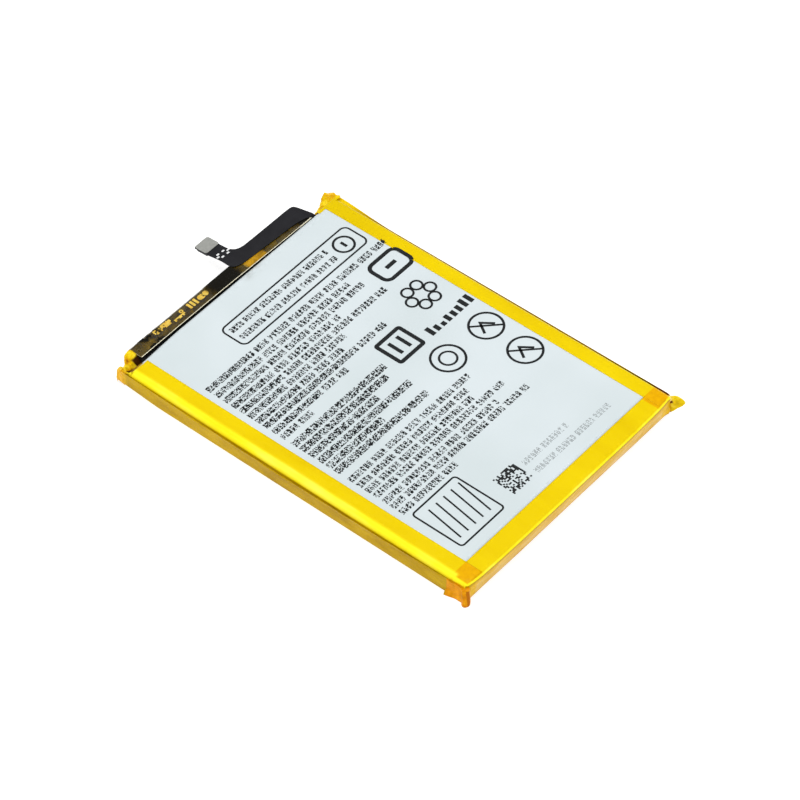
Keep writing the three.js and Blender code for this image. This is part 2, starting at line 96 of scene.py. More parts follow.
def camera_axes():
    """The camera's right, up and backward directions."""
    az = math.radians(CAMERA["azimuth"])
    el = math.radians(CAMERA["elevation"])
    back = Vector((math.sin(az) * math.cos(el), -math.cos(az) * math.cos(el), math.sin(el)))
    level = Vector((math.cos(az), math.sin(az), 0))
    upright = back.cross(level)
    roll = math.radians(CAMERA["roll"])
    right = level * math.cos(roll) + upright * math.sin(roll)
    up = upright * math.cos(roll) - level * math.sin(roll)
    return right, up, back


def make_camera():
    right, up, back = camera_axes()
    data = bpy.data.cameras.new("camera")
    data.lens = CAMERA["lens"]
    data.sensor_width = 36
    data.clip_start = 0.01
    data.clip_end = 20
    camera = bpy.data.objects.new("camera", data)
    bpy.context.scene.collection.objects.link(camera)
    aside = CAMERA["aside"]
    place = (right * aside[0] + up * aside[1] + back * CAMERA["distance"]) * MM
    turn = Matrix((right, up, back)).transposed().to_4x4()
    camera.matrix_world = Matrix.Translation(place) @ turn
    bpy.context.scene.camera = camera


make_camera()


# ---------------------------------------------------------------- small tools
def clamp(value, low=0.0, high=1.0):
    return max(low, min(high, value))


def smooth(value, start, end):
    """0 before start, 1 after end, eased between."""
    t = clamp((value - start) / (end - start))
    return t * t * (3 - 2 * t)


def mix(a, b, t):
    return a + (b - a) * t


def rolled(share):
    """How far a rounded edge has dropped, from 0 to 1, a share of its radius past its start."""
    return 1 - math.sqrt(1 - share**2)


def wobble(x, y, z, size, seed=0.0):
    """Smooth noise from -1 to 1, with features about size millimetres across."""
    return noise.noise(Vector((x / size + seed, y / size - seed, z / size + 2.3 * seed)))


def arc(cx, cy, radius, start, end, steps):
    """Points on an arc, angles in degrees."""
    angles = [math.radians(mix(start, end, i / steps)) for i in range(steps + 1)]
    return [(cx + radius * math.cos(a), cy + radius * math.sin(a)) for a in angles]


def path_length(points):
    return sum(math.dist(a, b) for a, b in zip(points, points[1:]))


def along(points, share):
    """The point at a share of a polyline's length."""
    target = share * path_length(points)
    for a, b in zip(points, points[1:]):
        step = math.dist(a, b)
        if target <= step or b is points[-1]:
            t = clamp(target / step) if step else 0
            return tuple(mix(p, q, t) for p, q in zip(a, b))
        target -= step
    return points[-1]


def curve_through(points, steps):
    """A smooth curve through a few points (Catmull-Rom), as a finer polyline."""
    found = []
    padded = [points[0], *points, points[-1]]
    for p0, p1, p2, p3 in zip(padded, padded[1:], padded[2:], padded[3:]):
        for i in range(steps):
            t = i / steps
            found.append(tuple(
                0.5 * (2 * b + (c - a) * t + (2 * a - 5 * b + 4 * c - d) * t**2
                       + (3 * b - a - 3 * c + d) * t**3)
                for a, b, c, d in zip(p0, p1, p2, p3)
            ))
    return [*found, tuple(points[-1])]


# ---------------------------------------------------------------- meshes
def make_piece(name, points, faces, material, body=PACK, smooth_shading=True):
    """A mesh piece from points in millimetres, riding on a body."""
    mesh = bpy.data.meshes.new(name)
    mesh.from_pydata([tuple(c * MM for c in p) for p in points], [], faces)
    mesh.validate()
    mesh.update()
    mesh.polygons.foreach_set("use_smooth", [smooth_shading] * len(mesh.polygons))
    mesh.materials.append(material)
    piece = bpy.data.objects.new(name, mesh)
    bpy.context.scene.collection.objects.link(piece)
    if body:
        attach(piece, body)
    return piece


def grid_faces(columns, rows, closed=False):
    """Quads of a grid laid out row by row. closed joins the last column to the first."""
    faces = []
    for j in range(rows - 1):
        for i in range(columns if closed else columns - 1):
            a = j * columns + i
            b = j * columns + (i + 1) % columns
            faces.append((a, b, b + columns, a + columns))
    return faces


def tube_faces(count, rings, bottom=True):
    """Faces round a stack of rings of count points, with a cap on the last and on the first."""
    faces = grid_faces(count, rings, closed=True)
    if bottom:
        faces.append(tuple(reversed(range(count))))
    faces.append(tuple(range(count * (rings - 1), count * rings)))
    return faces


def grid_piece(name, place, columns, rows, material, body=PACK, flip=False):
    """A sheet: place(u, v) gives a point for u and v from 0 to 1. flip turns its faces over."""
    points = [
        place(i / (columns - 1), j / (rows - 1)) for j in range(rows) for i in range(columns)
    ]
    faces = grid_faces(columns, rows)
    if flip:
        faces = [tuple(reversed(f)) for f in faces]
    return make_piece(name, points, faces, material, body)


def thicken(piece, thickness, offset=-1.0):
    """Gives a sheet its real thickness. offset -1 grows it away from its normals."""
    solid = piece.modifiers.new("thickness", "SOLIDIFY")
    solid.thickness = thickness * MM
    solid.offset = offset


def bevel(piece, width, segments=3):
    cut = piece.modifiers.new("bevel", "BEVEL")
    cut.width = width * MM
    cut.segments = segments
    cut.limit_method = "ANGLE"


def subdivide(piece, levels):
    refine = piece.modifiers.new("subdivision", "SUBSURF")
    refine.levels = levels
    refine.render_levels = levels


def prism(outline, z0, z1):
    """Points and faces of an outline raised between two levels."""
    points = [(x, y, z) for z in (z0, z1) for x, y in outline]
    return points, tube_faces(len(outline), 2)


def rounded_rect(x0, x1, y0, y1, radius, steps=6):
    return [
        *arc(x1 - radius, y0 + radius, radius, -90, 0, steps),
        *arc(x1 - radius, y1 - radius, radius, 0, 90, steps),
        *arc(x0 + radius, y1 - radius, radius, 90, 180, steps),
        *arc(x0 + radius, y0 + radius, radius, 180, 270, steps),
    ]


# ---------------------------------------------------------------- materials
class Nodes:
    """A material under construction: a Principled shader and short calls for its inputs."""

    def __init__(self, name, color, roughness, metallic=0.0, **sockets):
        self.material = bpy.data.materials.new(name)
        self.material.use_nodes = True
        self.tree = self.material.node_tree
        self.shader = self.tree.nodes["Principled BSDF"]
        self.set("Base Color", (*color, 1))
        self.set("Roughness", roughness)
        self.set("Metallic", metallic)
        for socket, value in sockets.items():
            self.set(socket.replace("_", " "), value)
        self.places = self.tree.nodes.new("ShaderNodeTexCoord").outputs["Object"]
        split = self.add("ShaderNodeSeparateXYZ", {"Vector": self.places})
        self.x, self.y, self.z = split.outputs
        self.across = self.math("ABSOLUTE", self.x)

    def set(self, socket, value):
        self.shader.inputs[socket].default_value = value

    def add(self, kind, inputs=None, **settings):
        node = self.tree.nodes.new(kind)
        for key, value in settings.items():
            setattr(node, key, value)
        for key, value in (inputs or {}).items():
            self.feed(node.inputs[key], value)
        return node

    def feed(self, socket, value):
        """Links a socket or sets its value. A colour may leave out its alpha."""
        if isinstance(value, bpy.types.NodeSocket):
            self.tree.links.new(value, socket)
        elif socket.type == "RGBA":
            socket.default_value = (*value, 1)
        else:
            socket.default_value = value

    def link(self, output, socket):
        self.tree.links.new(output, self.shader.inputs[socket])

    def finish(self, color, grain, low, high):
        """Links the colour, and a roughness that runs from low to high over a grain."""
        self.link(color, "Base Color")
        self.link(self.levels(grain, 0.3, 0.7, low, high), "Roughness")

    def grain(self, size_mm, detail=4.0, roughness=0.55, stretch=(1, 1, 1), distortion=0.0):
        """Noise with features about size_mm across, as a factor."""
        mapping = self.add("ShaderNodeMapping", {"Vector": self.places, "Scale": stretch})
        return self.add("ShaderNodeTexNoise", {
            "Vector": mapping.outputs[0],
            "Scale": 1 / (size_mm * MM),
            "Detail": detail,
            "Roughness": roughness,
            "Distortion": distortion,
        }).outputs["Fac"]

    def ramp(self, factor, stops):
        """A colour ramp. stops are (position, colour)."""
        node = self.add("ShaderNodeValToRGB", {"Fac": factor})
        elements = node.color_ramp.elements
        while len(elements) < len(stops):
            elements.new(0.5)
        for element, (position, color) in zip(elements, stops):
            element.position = position
            element.color = (*color, 1)
        return node.outputs["Color"]

    def tones(self, factor, *stops):
        """A colour ramp. stops are (position, red, green, blue), in 0-255 screen values."""
        return self.ramp(factor, [(position, srgb(*color)) for position, *color in stops])

    def levels(self, factor, low, high, out_low=0.0, out_high=1.0, smooth_step=False):
        return self.add("ShaderNodeMapRange", {
            "Value": factor,
            "From Min": low,
            "From Max": high,
            "To Min": out_low,
            "To Max": out_high,
        }, interpolation_type="SMOOTHSTEP" if smooth_step else "LINEAR").outputs[0]

    def math(self, operation, a, b=0.0):
        node = self.add("ShaderNodeMath", operation=operation)
        for socket, value in zip(node.inputs, (a, b)):
            self.feed(socket, value)
        return node.outputs[0]

    def times(self, a, b):
        return self.math("MULTIPLY", a, b)

    def most(self, *masks):
        """The highest of a few masks."""
        found = masks[0]
        for mask in masks[1:]:
            found = self.math("MAXIMUM", found, mask)
        return found

    def region(self, soft=0.1, wander=None, **ranges):
        """1 inside the given ranges, in mm, of x, y, z, across or another field that has been
        added to self; 0 outside, eased over soft. wander is a field that moves the borders."""
        mask = None
        for name, (low, high) in ranges.items():
            value = getattr(self, name)
            if wander:
                value = self.math("ADD", value, wander)
            for limit, sign in ((low, 1), (high, -1)):
                if limit is None:
                    continue
                start, end = (limit - sign * soft / 2) * MM, (limit + sign * soft / 2) * MM
                step = self.levels(value, start, end, smooth_step=True)
                mask = step if mask is None else self.math("MULTIPLY", mask, step)
        return mask

    def blend(self, factor, a, b):
        """Mixes two colours."""
        node = self.add("ShaderNodeMix", data_type="RGBA")
        color_a, color_b = [s for s in node.inputs if s.type == "RGBA"]
        self.feed(node.inputs[0], factor)
        self.feed(color_a, a)
        self.feed(color_b, b)
        return next(s for s in node.outputs if s.type == "RGBA")

    def sum(self, *terms):
        """Adds (factor, weight) pairs."""
        total = None
        for factor, weight in terms:
            term = self.math("MULTIPLY", factor, weight)
            total = term if total is None else self.math("ADD", total, term)
        return total

    def bump(self, height, strength, distance_mm):
        node = self.add("ShaderNodeBump", {
            "Height": height,
            "Strength": strength,
            "Distance": distance_mm * MM,
        })
        self.link(node.outputs[0], "Normal")


def srgb(red, green, blue):
    """A colour given as 0-255 screen values, made linear."""
    def linear(value):
        value /= 255
        return value / 12.92 if value <= 0.04045 else ((value + 0.055) / 1.055) ** 2.4
    return linear(red), linear(green), linear(blue)


def above(limit):
    """A range for region, open at its far end."""
    return limit, None


def below(limit):
    """A range for region, open at its near end."""
    return None, limit


def laminate_material():
    """Bright aluminium-plastic laminate with faint dents."""
    m = Nodes("pouch_laminate", srgb(206, 210, 213), 0.38, 0.6, Coat_Weight=0.2)
    color = m.tones(m.grain(9, detail=3), (0.3, 186, 191, 195), (0.7, 218, 221, 223))
    m.finish(color, m.grain(1.6, detail=5), 0.3, 0.46)
    m.bump(m.sum((m.grain(4.5, detail=2), 1.6), (m.grain(0.5, detail=2), 0.25)), 0.5, 0.05)
    return m.material


def label_material():
    """Satin white film, faintly blue, with a soft grey patch at its terrace edge."""
    m = Nodes("label_face", srgb(204, 213, 215), 0.4, Specular_IOR_Level=0.3)
    film = m.tones(m.grain(26, detail=2), (0.35, 200, 210, 212), (0.65, 208, 217, 220))
    drift = m.levels(m.grain(3, detail=3), 0.35, 0.6)
    grey_patch = m.times(m.region(2.6, x=(2.5, 7.5), y=above(40.9)), drift)
    m.finish(m.blend(grey_patch, film, srgb(168, 174, 172)), m.grain(0.8, detail=6), 0.34, 0.48)
    m.bump(m.sum((m.grain(11, detail=2), 2.0), (m.grain(0.35, detail=3), 0.12)), 0.25, 0.05)
    return m.material


def tape_material():
    """Glossy yellow film. It is paler on the shoulders with painted highlights, browner over the folded
    side seal (partly its own colour there, partly painted shade), silvery amber on the end wall, and
    orange where two layers lie together. Painted shade also darkens the far groove and the hollows and
    creases at the corners."""
    m = Nodes("yellow_tape", srgb(227, 197, 3), 0.26, Specular_IOR_Level=0.04)
    wander = m.times(m.levels(m.grain(2.5, detail=2), 0.3, 0.7, -1, 1), 0.1 * MM)
    streak = m.grain(6, detail=3, stretch=(1, 0.3, 1))
    speckle = m.grain(0.9, detail=3)
    mottle = m.grain(2.6, detail=4, stretch=(1, 0.35, 1))
    along_wall = m.grain(3.2, detail=4, stretch=(0.4, 1, 1.4))
    ear_shade = m.grain(1.5, detail=2)
    creased = m.grain(1.9, detail=3)
    orange = m.tones(speckle, (0.3, 220, 160, 0), (0.7, 230, 174, 0))
    # Painted highlight colours for the rolled edges.
    lemon_highlight = m.tones(streak, (0.3, 246, 222, 8), (0.5, 252, 238, 34), (0.75, 255, 247, 92))
    # Amber for the folded seals: partly their own browner colour, partly painted shade.
    amber = m.tones(mottle, (0.3, 162, 126, 0), (0.55, 184, 148, 2), (0.75, 198, 162, 8))
    ochre = m.tones(along_wall, (0.3, 198, 150, 0), (0.7, 228, 182, 10))
    silver = m.tones(along_wall, (0.3, 206, 158, 34), (0.5, 216, 174, 70), (0.75, 226, 192, 118))
    burnt = m.tones(ear_shade, (0.3, 194, 130, 0), (0.5, 214, 138, 0), (0.7, 232, 158, 4))
    pleat = m.tones(ear_shade, (0.3, 196, 118, 0), (0.5, 222, 142, 2), (0.7, 240, 176, 20))
    fin = m.tones(ear_shade, (0.3, 214, 180, 4), (0.5, 242, 210, 14), (0.7, 252, 232, 96))
    # Painted highlight for the seals' ends at the terrace.
    glow = m.tones(ear_shade, (0.3, 214, 152, 8), (0.5, 240, 178, 34), (0.7, 250, 200, 74))
    shaded = m.tones(speckle, (0.3, 84, 52, 10), (0.7, 160, 112, 26))
    # Crumpled tape, darker in its folds with painted shade.
    crease = m.tones(
        creased, (0.3, 146, 90, 2), (0.4, 206, 148, 2), (0.52, 222, 184, 6), (0.68, 244, 218, 44)
    )
    # Painted shade for the groove behind the far seal's free edge.
    groove = m.blend(m.region(5, y=above(-42)), srgb(112, 66, 6), srgb(116, 104, 20))
    color = m.tones(streak, (0.3, 222, 190, 2), (0.7, 231, 203, 4))

    def paint(tone, soft, edge=None, **ranges):
        """Lays a tone over the colour so far, inside a region."""
        nonlocal color
        color = m.blend(m.region(soft, edge, **ranges), color, tone)

    # The face: a darker yellow on the far strip, the doubled corners, and painted highlights on the
    # rolled edges.
    far_strip_darker = m.times(m.region(16, x=above(20), y=above(30)), 0.7)
    color = m.blend(far_strip_darker, color, srgb(214, 184, 2))
    paint(orange, 0.02, across=above(NEAR_TAPE_X - 0.05), y=below(END_TAPE_Y), z=above(4.4))
    paint(lemon_highlight, 0.9, x=(-32.64, -31.2), y=above(-44.6), z=above(4.4))
    paint(lemon_highlight, 0.3, x=(-32.7, -31.95), y=below(-44.2), z=above(4.5))
    paint(lemon_highlight, 0.16, y=below(-47.45), z=(5.08, 5.46))
    # The folded side seals, partly their own browner colour and partly painted shade on faces turned
    # from the light, and painted shade in the groove behind the far one.
    paint(amber, 0.06, across=above(32.66), z=below(5.2))
    paint(groove, 0.05, x=(32.52, 32.92), y=above(-46.9), z=above(3.6))
    # The end wall, from under its rolled edge down to the fold at the floor, with a dark olive band of
    # painted shade just under the roll.
    paint(srgb(188, 148, 2), 0.12, y=below(-47.3), across=below(32.9), z=below(5.05))
    paint(ochre, 0.5, wander, y=below(-46.9), across=below(32.9), z=below(4.3))
    paint(silver, 1.0, wander, y=below(-46.9), across=below(29.6), z=below(3.2))
    paint(srgb(170, 118, 44), 0.2, wander, y=below(-46.9), z=below(0.45))
    # The bottom corners: the far lump with a painted highlight, the near lap and ear with painted shade
    # on the ear's dark facet, the far ear and painted shade in its hollow.
    paint(srgb(250, 224, 150), 0.6, x=(31.9, 33.2), y=below(-47.0), z=(4.1, 5.2))
    paint(burnt, 0.25, wander, x=below(-32.62), y=below(-42.9), z=below(4.9))
    paint(pleat, 0.1, x=below(-32.0), y=below(-47.5), z=below(4.9))
    paint(srgb(182, 104, 0), 0.2, wander, x=(-33.0, -32.35), y=below(-47.9), z=below(4.4))
    paint(fin, 0.15, x=above(32.7), y=below(-47.3))
    paint(srgb(104, 52, 4), 0.3, wander, x=(32.5, 33.0), y=below(-47.0), z=(2.7, 3.6))
    # The terrace corners: the far seal's flare in plain tape yellow, the crumpled scraps darkened in
    # their folds with painted shade, a painted highlight on the seals' ends, and painted shade in the
    # near hollows.
    flare = m.times(m.region(0.2, x=above(32.3), z=above(4.4)), m.region(14, y=above(34)))
    color = m.blend(flare, color, srgb(236, 203, 6))
    paint(crease, 1.0, wander, across=below(32.7), y=above(42.9))
    paint(glow, 2.6, wander, across=above(32.5), y=above(43.6))
    paint(shaded, 0.3, wander, x=(-32.3, -27.6), y=(41.75, 43.8), z=below(5.46))
    paint(srgb(70, 36, 8), 0.5, wander, x=(-28.9, -27.0), y=(43.4, 45.4), z=below(4.1))
    m.finish(color, m.grain(2.2, detail=5), 0.2, 0.36)
    m.bump(m.sum((m.grain(6, detail=2), 1.5), (m.grain(1.1, detail=3), 0.5)), 0.35, 0.05)
    return m.material


def ink_material():
    m = Nodes("print_ink", srgb(14, 18, 20), 0.5, Specular_IOR_Level=0.2)
    m.finish(m.tones(m.grain(0.7), (0.3, 8, 11, 12), (0.7, 24, 29, 31)), m.grain(0.4), 0.42, 0.6)
    m.bump(m.grain(0.3), 0.3, 0.01)
    return m.material


def flex_material():
    """Matt black coverlay film."""
    m = Nodes("flex_coverlay", srgb(26, 26, 29), 0.5, Specular_IOR_Level=0.15)
    color = m.tones(m.grain(3, detail=5), (0.3, 20, 20, 24), (0.7, 30, 30, 34))
    m.finish(color, m.grain(0.6, detail=5), 0.42, 0.6)
    m.bump(m.sum((m.grain(2.4, detail=2), 1.0), (m.grain(0.2), 0.3)), 0.3, 0.04)
    return m.material


EDGE_SHIFT, EDGE_DRIFT = 0.25, 0.4  # the wrap's inner edge overhangs, and more at the far end


def wrap_material():
    """Amber polyimide film: it lets the board show through, less where it has creased. A pale
    line runs along the board's inner edge, and a golden patch lies beside the flex lead."""
    m = Nodes("amber_tape", srgb(120, 90, 24), 0.2, Specular_IOR_Level=0.12, Coat_Weight=0.05)
    cloud = m.grain(2.2, detail=4, distortion=0.8)
    shades = m.tones(cloud, (0.3, 50, 38, 4), (0.5, 100, 78, 10), (0.72, 150, 120, 26))
    glow = m.region(0.9, x=(5.9, 11.5), y=below(45.9))
    gold = m.tones(cloud, (0.35, 160, 116, 14), (0.65, 216, 164, 30))
    color = m.blend(m.times(glow, 0.9), shades, gold)
    patch = m.levels(m.grain(1.7, detail=3), 0.47, 0.56)
    patch = m.most(m.times(patch, m.region(2, x=(-25.6, -19.0))), m.region(3, x=(-4.5, 4.5)))
    end = m.region(1.0, x=above(21.8))
    color = m.blend(m.most(patch, end), color, srgb(20, 18, 10))
    drift = m.levels(m.x, -10 * MM, 25 * MM, 0, EDGE_DRIFT * MM, smooth_step=True)
    m.from_edge = m.math("ADD", m.y, drift)
    line = m.region(0.05, from_edge=below(WRAP_LO.y - EDGE_SHIFT + 0.19), z=above(4.4))
    color = m.blend(line, color, srgb(250, 244, 214))
    pads = m.region(0.8, x=(-21.5, -4.2), y=(44.8, 47.1))
    side = m.region(0.4, z=below(4.1))
    cover = m.times(m.levels(cloud, 0.3, 0.7, 0.08, 0.3), m.levels(pads, 0, 1, 1, 0.5))
    cover = m.most(cover, m.times(glow, 0.7), m.times(patch, 0.7), end, m.times(side, 0.66), line)
    m.link(cover, "Alpha")
    m.finish(color, m.grain(0.9), 0.14, 0.28)
    m.bump(m.sum((m.grain(2.2, detail=3), 1.0), (m.grain(0.7), 0.4)), 0.5, 0.12)
    return m.material


def board_material():
    """Near-black solder mask with faint tracks; bare glass fibre on the cut edges."""
    m = Nodes("solder_mask", srgb(28, 31, 25), 0.35, Coat_Weight=0.2)
    patches = m.grain(3.4, detail=4, stretch=(0.7, 1, 1))
    mask = m.tones(patches, (0.38, 8, 8, 8), (0.5, 44, 40, 18), (0.66, 78, 70, 34))
    mask = m.blend(m.region(4, x=(-4.5, 4.5)), mask, srgb(9, 9, 6))
    tracks = m.add("ShaderNodeTexWave", {
        "Vector": m.places, "Scale": 260.0, "Distortion": 6.0, "Detail": 2.0,
    }, bands_direction="Y").outputs["Fac"]
    mask = m.blend(m.levels(tracks, 0.8, 0.95, 0.0, 0.3), mask, srgb(90, 80, 40))
    low, high = BOARD_LO.z, BOARD_HI.z
    edge = m.region(0.02, z=(low + 0.01, high - 0.03))
    core = m.region(0.04, z=(low + 0.28, high - 0.03))
    weave = m.grain(0.4, stretch=(0.3, 0.3, 3))
    fibre = m.tones(weave, (0.3, 206, 192, 150), (0.7, 242, 232, 196))
    m.link(m.blend(core, m.blend(edge, mask, srgb(60, 54, 34)), fibre), "Base Color")
    m.link(m.levels(edge, 0, 1, 0.35, 0.7), "Roughness")
    m.bump(tracks, 0.3, 0.02)
    return m.material


def plain_material(name, dark, light, roughness, size_mm, metallic=0.0, bump_mm=0.01, stretch=(1, 1, 1)):
    """Two near shades mottled together, with roughness and a fine bump to match."""
    m = Nodes(name, light, roughness, metallic)
    color = m.ramp(m.grain(size_mm, detail=5, stretch=stretch), [(0.3, dark), (0.7, light)])
    fine = m.grain(size_mm / 3, detail=4, stretch=stretch)
    m.finish(color, fine, roughness * 0.8, min(roughness * 1.2, 1))
    m.bump(fine, 0.4, bump_mm)
    return m.material


LAMINATE = laminate_material()
LABEL = label_material()
TAPE = tape_material()
INK = ink_material()
FLEX = flex_material()
WRAP = wrap_material()
BOARD = board_material()
GOLD = plain_material("gold_plate", srgb(250, 196, 50), srgb(255, 228, 110), 0.4, 0.6, metallic=0.1)
SOLDER = plain_material("solder_pad", srgb(206, 208, 208), srgb(240, 241, 241), 0.35, 0.3)
NICKEL = plain_material(
    "nickel_strip", srgb(160, 156, 146), srgb(196, 192, 182), 0.3, 0.5, metallic=1.0, stretch=(1, 6, 1)
)
ALUMINIUM = plain_material("aluminium_foil", srgb(190, 194, 198), srgb(220, 222, 225), 0.3, 0.7, 1.0)
RESIN = plain_material("moulded_resin", srgb(22, 23, 25), srgb(40, 41, 44), 0.5, 0.4)
CERAMIC = plain_material("chip_ceramic", srgb(150, 118, 82), srgb(184, 150, 110), 0.45, 0.3)
GLAZE = plain_material("resistor_glaze", srgb(20, 21, 26), srgb(38, 40, 46), 0.3, 0.3)
FOAM = plain_material("foam", srgb(28, 29, 30), srgb(48, 49, 51), 0.9, 0.35, bump_mm=0.06)
SEALANT = plain_material("tab_sealant", srgb(206, 200, 176), srgb(232, 228, 208), 0.45, 1.0)
CATHODE = plain_material("cathode_coating", srgb(30, 31, 33), srgb(48, 49, 52), 0.75, 0.4)
ANODE = plain_material("anode_coating", srgb(50, 46, 42), srgb(76, 70, 64), 0.7, 0.4)
SEPARATOR = plain_material("separator_film", srgb(232, 233, 230), srgb(246, 246, 244), 0.6, 2.0)
STIFFENER = plain_material("stiffener_laminate", srgb(138, 139, 134), srgb(152, 153, 148), 0.5, 0.6)

CAD_LOOKS = {
    "inner_separator": SEPARATOR,
    "outer_separator": SEPARATOR,
    "cathode_sheet": CATHODE,
    "anode_sheet": ANODE,
    "winding_end_tape": TAPE,
    "positive_tab": ALUMINIUM,
    "negative_tab": NICKEL,
    "positive_tab_sealant": SEALANT,
    "negative_tab_sealant": SEALANT,
    "positive_weld_plate": NICKEL,
    "negative_weld_plate": NICKEL,
    "protection_board": BOARD,
    "mosfet_package": RESIN,
    "protection_ic": RESIN,
    "thermistor": CERAMIC,
    "connector_housing": RESIN,
}
LOOKS_BY_WORD = {
    "capacitor": CERAMIC, "resistor": GLAZE, "_pad": GOLD, "contact": GOLD, "hold_down": GOLD,
}
for node_name, node in frame["nodes"].items():
    look = CAD_LOOKS.get(node_name, LAMINATE)
    for word, material in LOOKS_BY_WORD.items():
        if word in node_name:
            look = material
    node.data.materials.clear()
    node.data.materials.append(look)

# ---------------------------------------------------------------- pouch
# The rolled long edge: where it begins, its radius, and the angle at which the groove cuts in.
SHOULDER = {"x": 31.35, "radius": 1.28, "end": 22}
# The side seal, folded up: height of its free edge and how far that sags, how far the edge stands
# off, the radius of the fold at the floor, where it stops, and its flare at the far corner.
FLANGE = {"end": 4.6, "dip": 0.42, "lean": 0.28, "foot": 0.6, "ends_y": 45.2, "flare": 0.75}
FACE = HALF_WIDTH - 0.01
# The end wall: where the face's flat ends, how far it swells, its roll, and where the wall lands.
END = {"flat": -47.2, "swell": 0.73, "radius": 0.55, "foot": -47.52}


def face_end(x):
    """Where the face ends towards the terrace: it draws back a little at the near corner."""
    return FACE_TOP_Y - 0.5 * smooth(-x, 16, 33)


def foot_rise(x, y):
    """The near seal's bottom fold lifts off the floor towards the terrace."""
    return 0.75 * smooth(y, 33, 44.5) if x < 0 else 0.0


def end_flat(x):
    """Where the face ends at the bottom: it swells outward, least at the corners."""
    across = abs(x)
    swell = END["swell"] - 0.25 * (across / 28) ** 4 - 0.25 * smooth(across, 28, 33)
    return END["flat"] - swell


def end_drop(x, y):
    """How far the face has rolled down at y, past the end of its flat part."""
    radius = END["radius"]
    into = clamp(end_flat(x) - y, 0, radius)
    return radius - math.sqrt(radius**2 - into**2)


def side_drop(x):
    """How far the face has rolled down at x, past the start of the long side's shoulder."""
    radius = SHOULDER["radius"]
    into = clamp(abs(x) - SHOULDER["x"], 0, radius - 0.02)
    return radius - math.sqrt(radius**2 - into**2)


def seal_top(y):
    """Height of the folded seal's free edge: it sags a little towards the middle."""
    return FLANGE["end"] - FLANGE["dip"] * (1 - clamp(abs(y) / 45) ** 2.4)


def seal_lean(y):
    """How far the free edge stands off the cell, most at mid-length."""
    return FLANGE["lean"] * (1 - clamp(abs(y) / 44) ** 2)


def make_cup_skin():
    """The drawn cup, finer than the frame's: rings of a rounded rectangle, rolled in on top."""
    lo, hi = box_mm("pouch_cup")
    half = 32.55
    steps = 10
    tuck = 0.5
    rings = [(0.36, 0, tuck)]
    for i in range(steps + 1):
        angle = math.pi / 2 * i / steps
        inset = 1 - math.cos(angle)
        rings.append((hi.z - 1.15 * (1 - math.sin(angle)), 1.15 * inset, tuck + 0.45 * inset))
    points = []
    for z, side, end in rings:
        corner = max(1.7 - side, 0.5)
        ring = rounded_rect(-half + side, half - side, lo.y + end, FACE_TOP_Y - end + 0.4, corner, 8)
        points += [(x, y - (FACE_TOP_Y - face_end(x)) * smooth(y, 38, 42), z) for x, y in ring]
    faces = tube_faces(len(points) // len(rings), len(rings), bottom=False)
    skin = make_piece("pouch_cup_skin", points, faces, LAMINATE)
    thicken(skin, 0.13)
    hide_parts("pouch_cup")


def make_back_skin():
    """The back sheet: flat on the back, folded up at both sides into the side seals."""
    y0, y1 = -47.1, 47.0

    def section(y):
        beyond = smooth(y, 41.6, 43.4)
        height = mix(seal_top(y) - 0.16, 0.7, beyond)
        lean = seal_lean(y)
        wall = FACE - 0.12
        half = [(0, 0.14), (14, 0.13), (28.4, 0.13), (29.6, 0.24), (30.6, 0.24), (32.3, 0.2)]
        half += arc(wall - 0.5, 0.66, 0.5, -60, 0, 5)
        for i in range(1, 9):
            share = i / 8
            half.append((wall + lean * share**1.3, mix(0.66, height, share)))
        return [(-x, z) for x, z in reversed(half)] + half[1:]

    columns = len(section(0))

    def place(u, v):
        i = round(u * (columns - 1))
        x = section(mix(y0, y1, v))[i][0]
        corner_cut = max(0, abs(x) - 25.5) * 0.42
        y = mix(y0, y1 - corner_cut, v)
        x, z = section(y)[i]
        narrow = 1 - 0.022 * smooth(y, FLANGE["ends_y"] - 1.6, FLANGE["ends_y"])
        z += foot_rise(x, y) * smooth(-x, 30.2, 32.4) * (1 - smooth(z, 0.6, 3.0))
        return x * narrow, y, z

    skin = grid_piece("pouch_back_skin", place, columns, 121, LAMINATE, flip=True)
    thicken(skin, 0.12)
    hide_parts("pouch_back_sheet")


def make_far_ear():
    """The gusset of seal that stands out like a fin at the far bottom corner."""
    root = Vector((32.6, -47.25, 0))
    out = Vector((0.62, -0.785, 0))
    tip = Vector((3.15, 2.75))
    upper = curve_through([(-0.2, 4.7), (0.7, 4.75), (1.7, 4.4), (2.6, 3.7), (3.05, 3.1), tip], 6)
    lower = curve_through([(-0.5, 0.04), (0.2, 0.1), (0.9, 0.6), (1.6, 1.2), (2.6, 1.95), tip], 6)

    def place(u, v):
        low, high = along(lower, u), along(upper, u)
        reach, z = mix(low[0], high[0], v), mix(low[1], high[1], v)
        sway = 0.35 * math.sin(1.9 * u) * (v - 0.35) + 0.14 * wobble(reach, z, 0, 0.9, 4)
        spot = root + out * reach + Vector((out.y, -out.x, 0)) * -sway
        return spot.x, spot.y, z

    ear = grid_piece("far_bottom_ear", place, 25, 21, TAPE)
    thicken(ear, 0.26, offset=0)
    bevel(ear, 0.09)


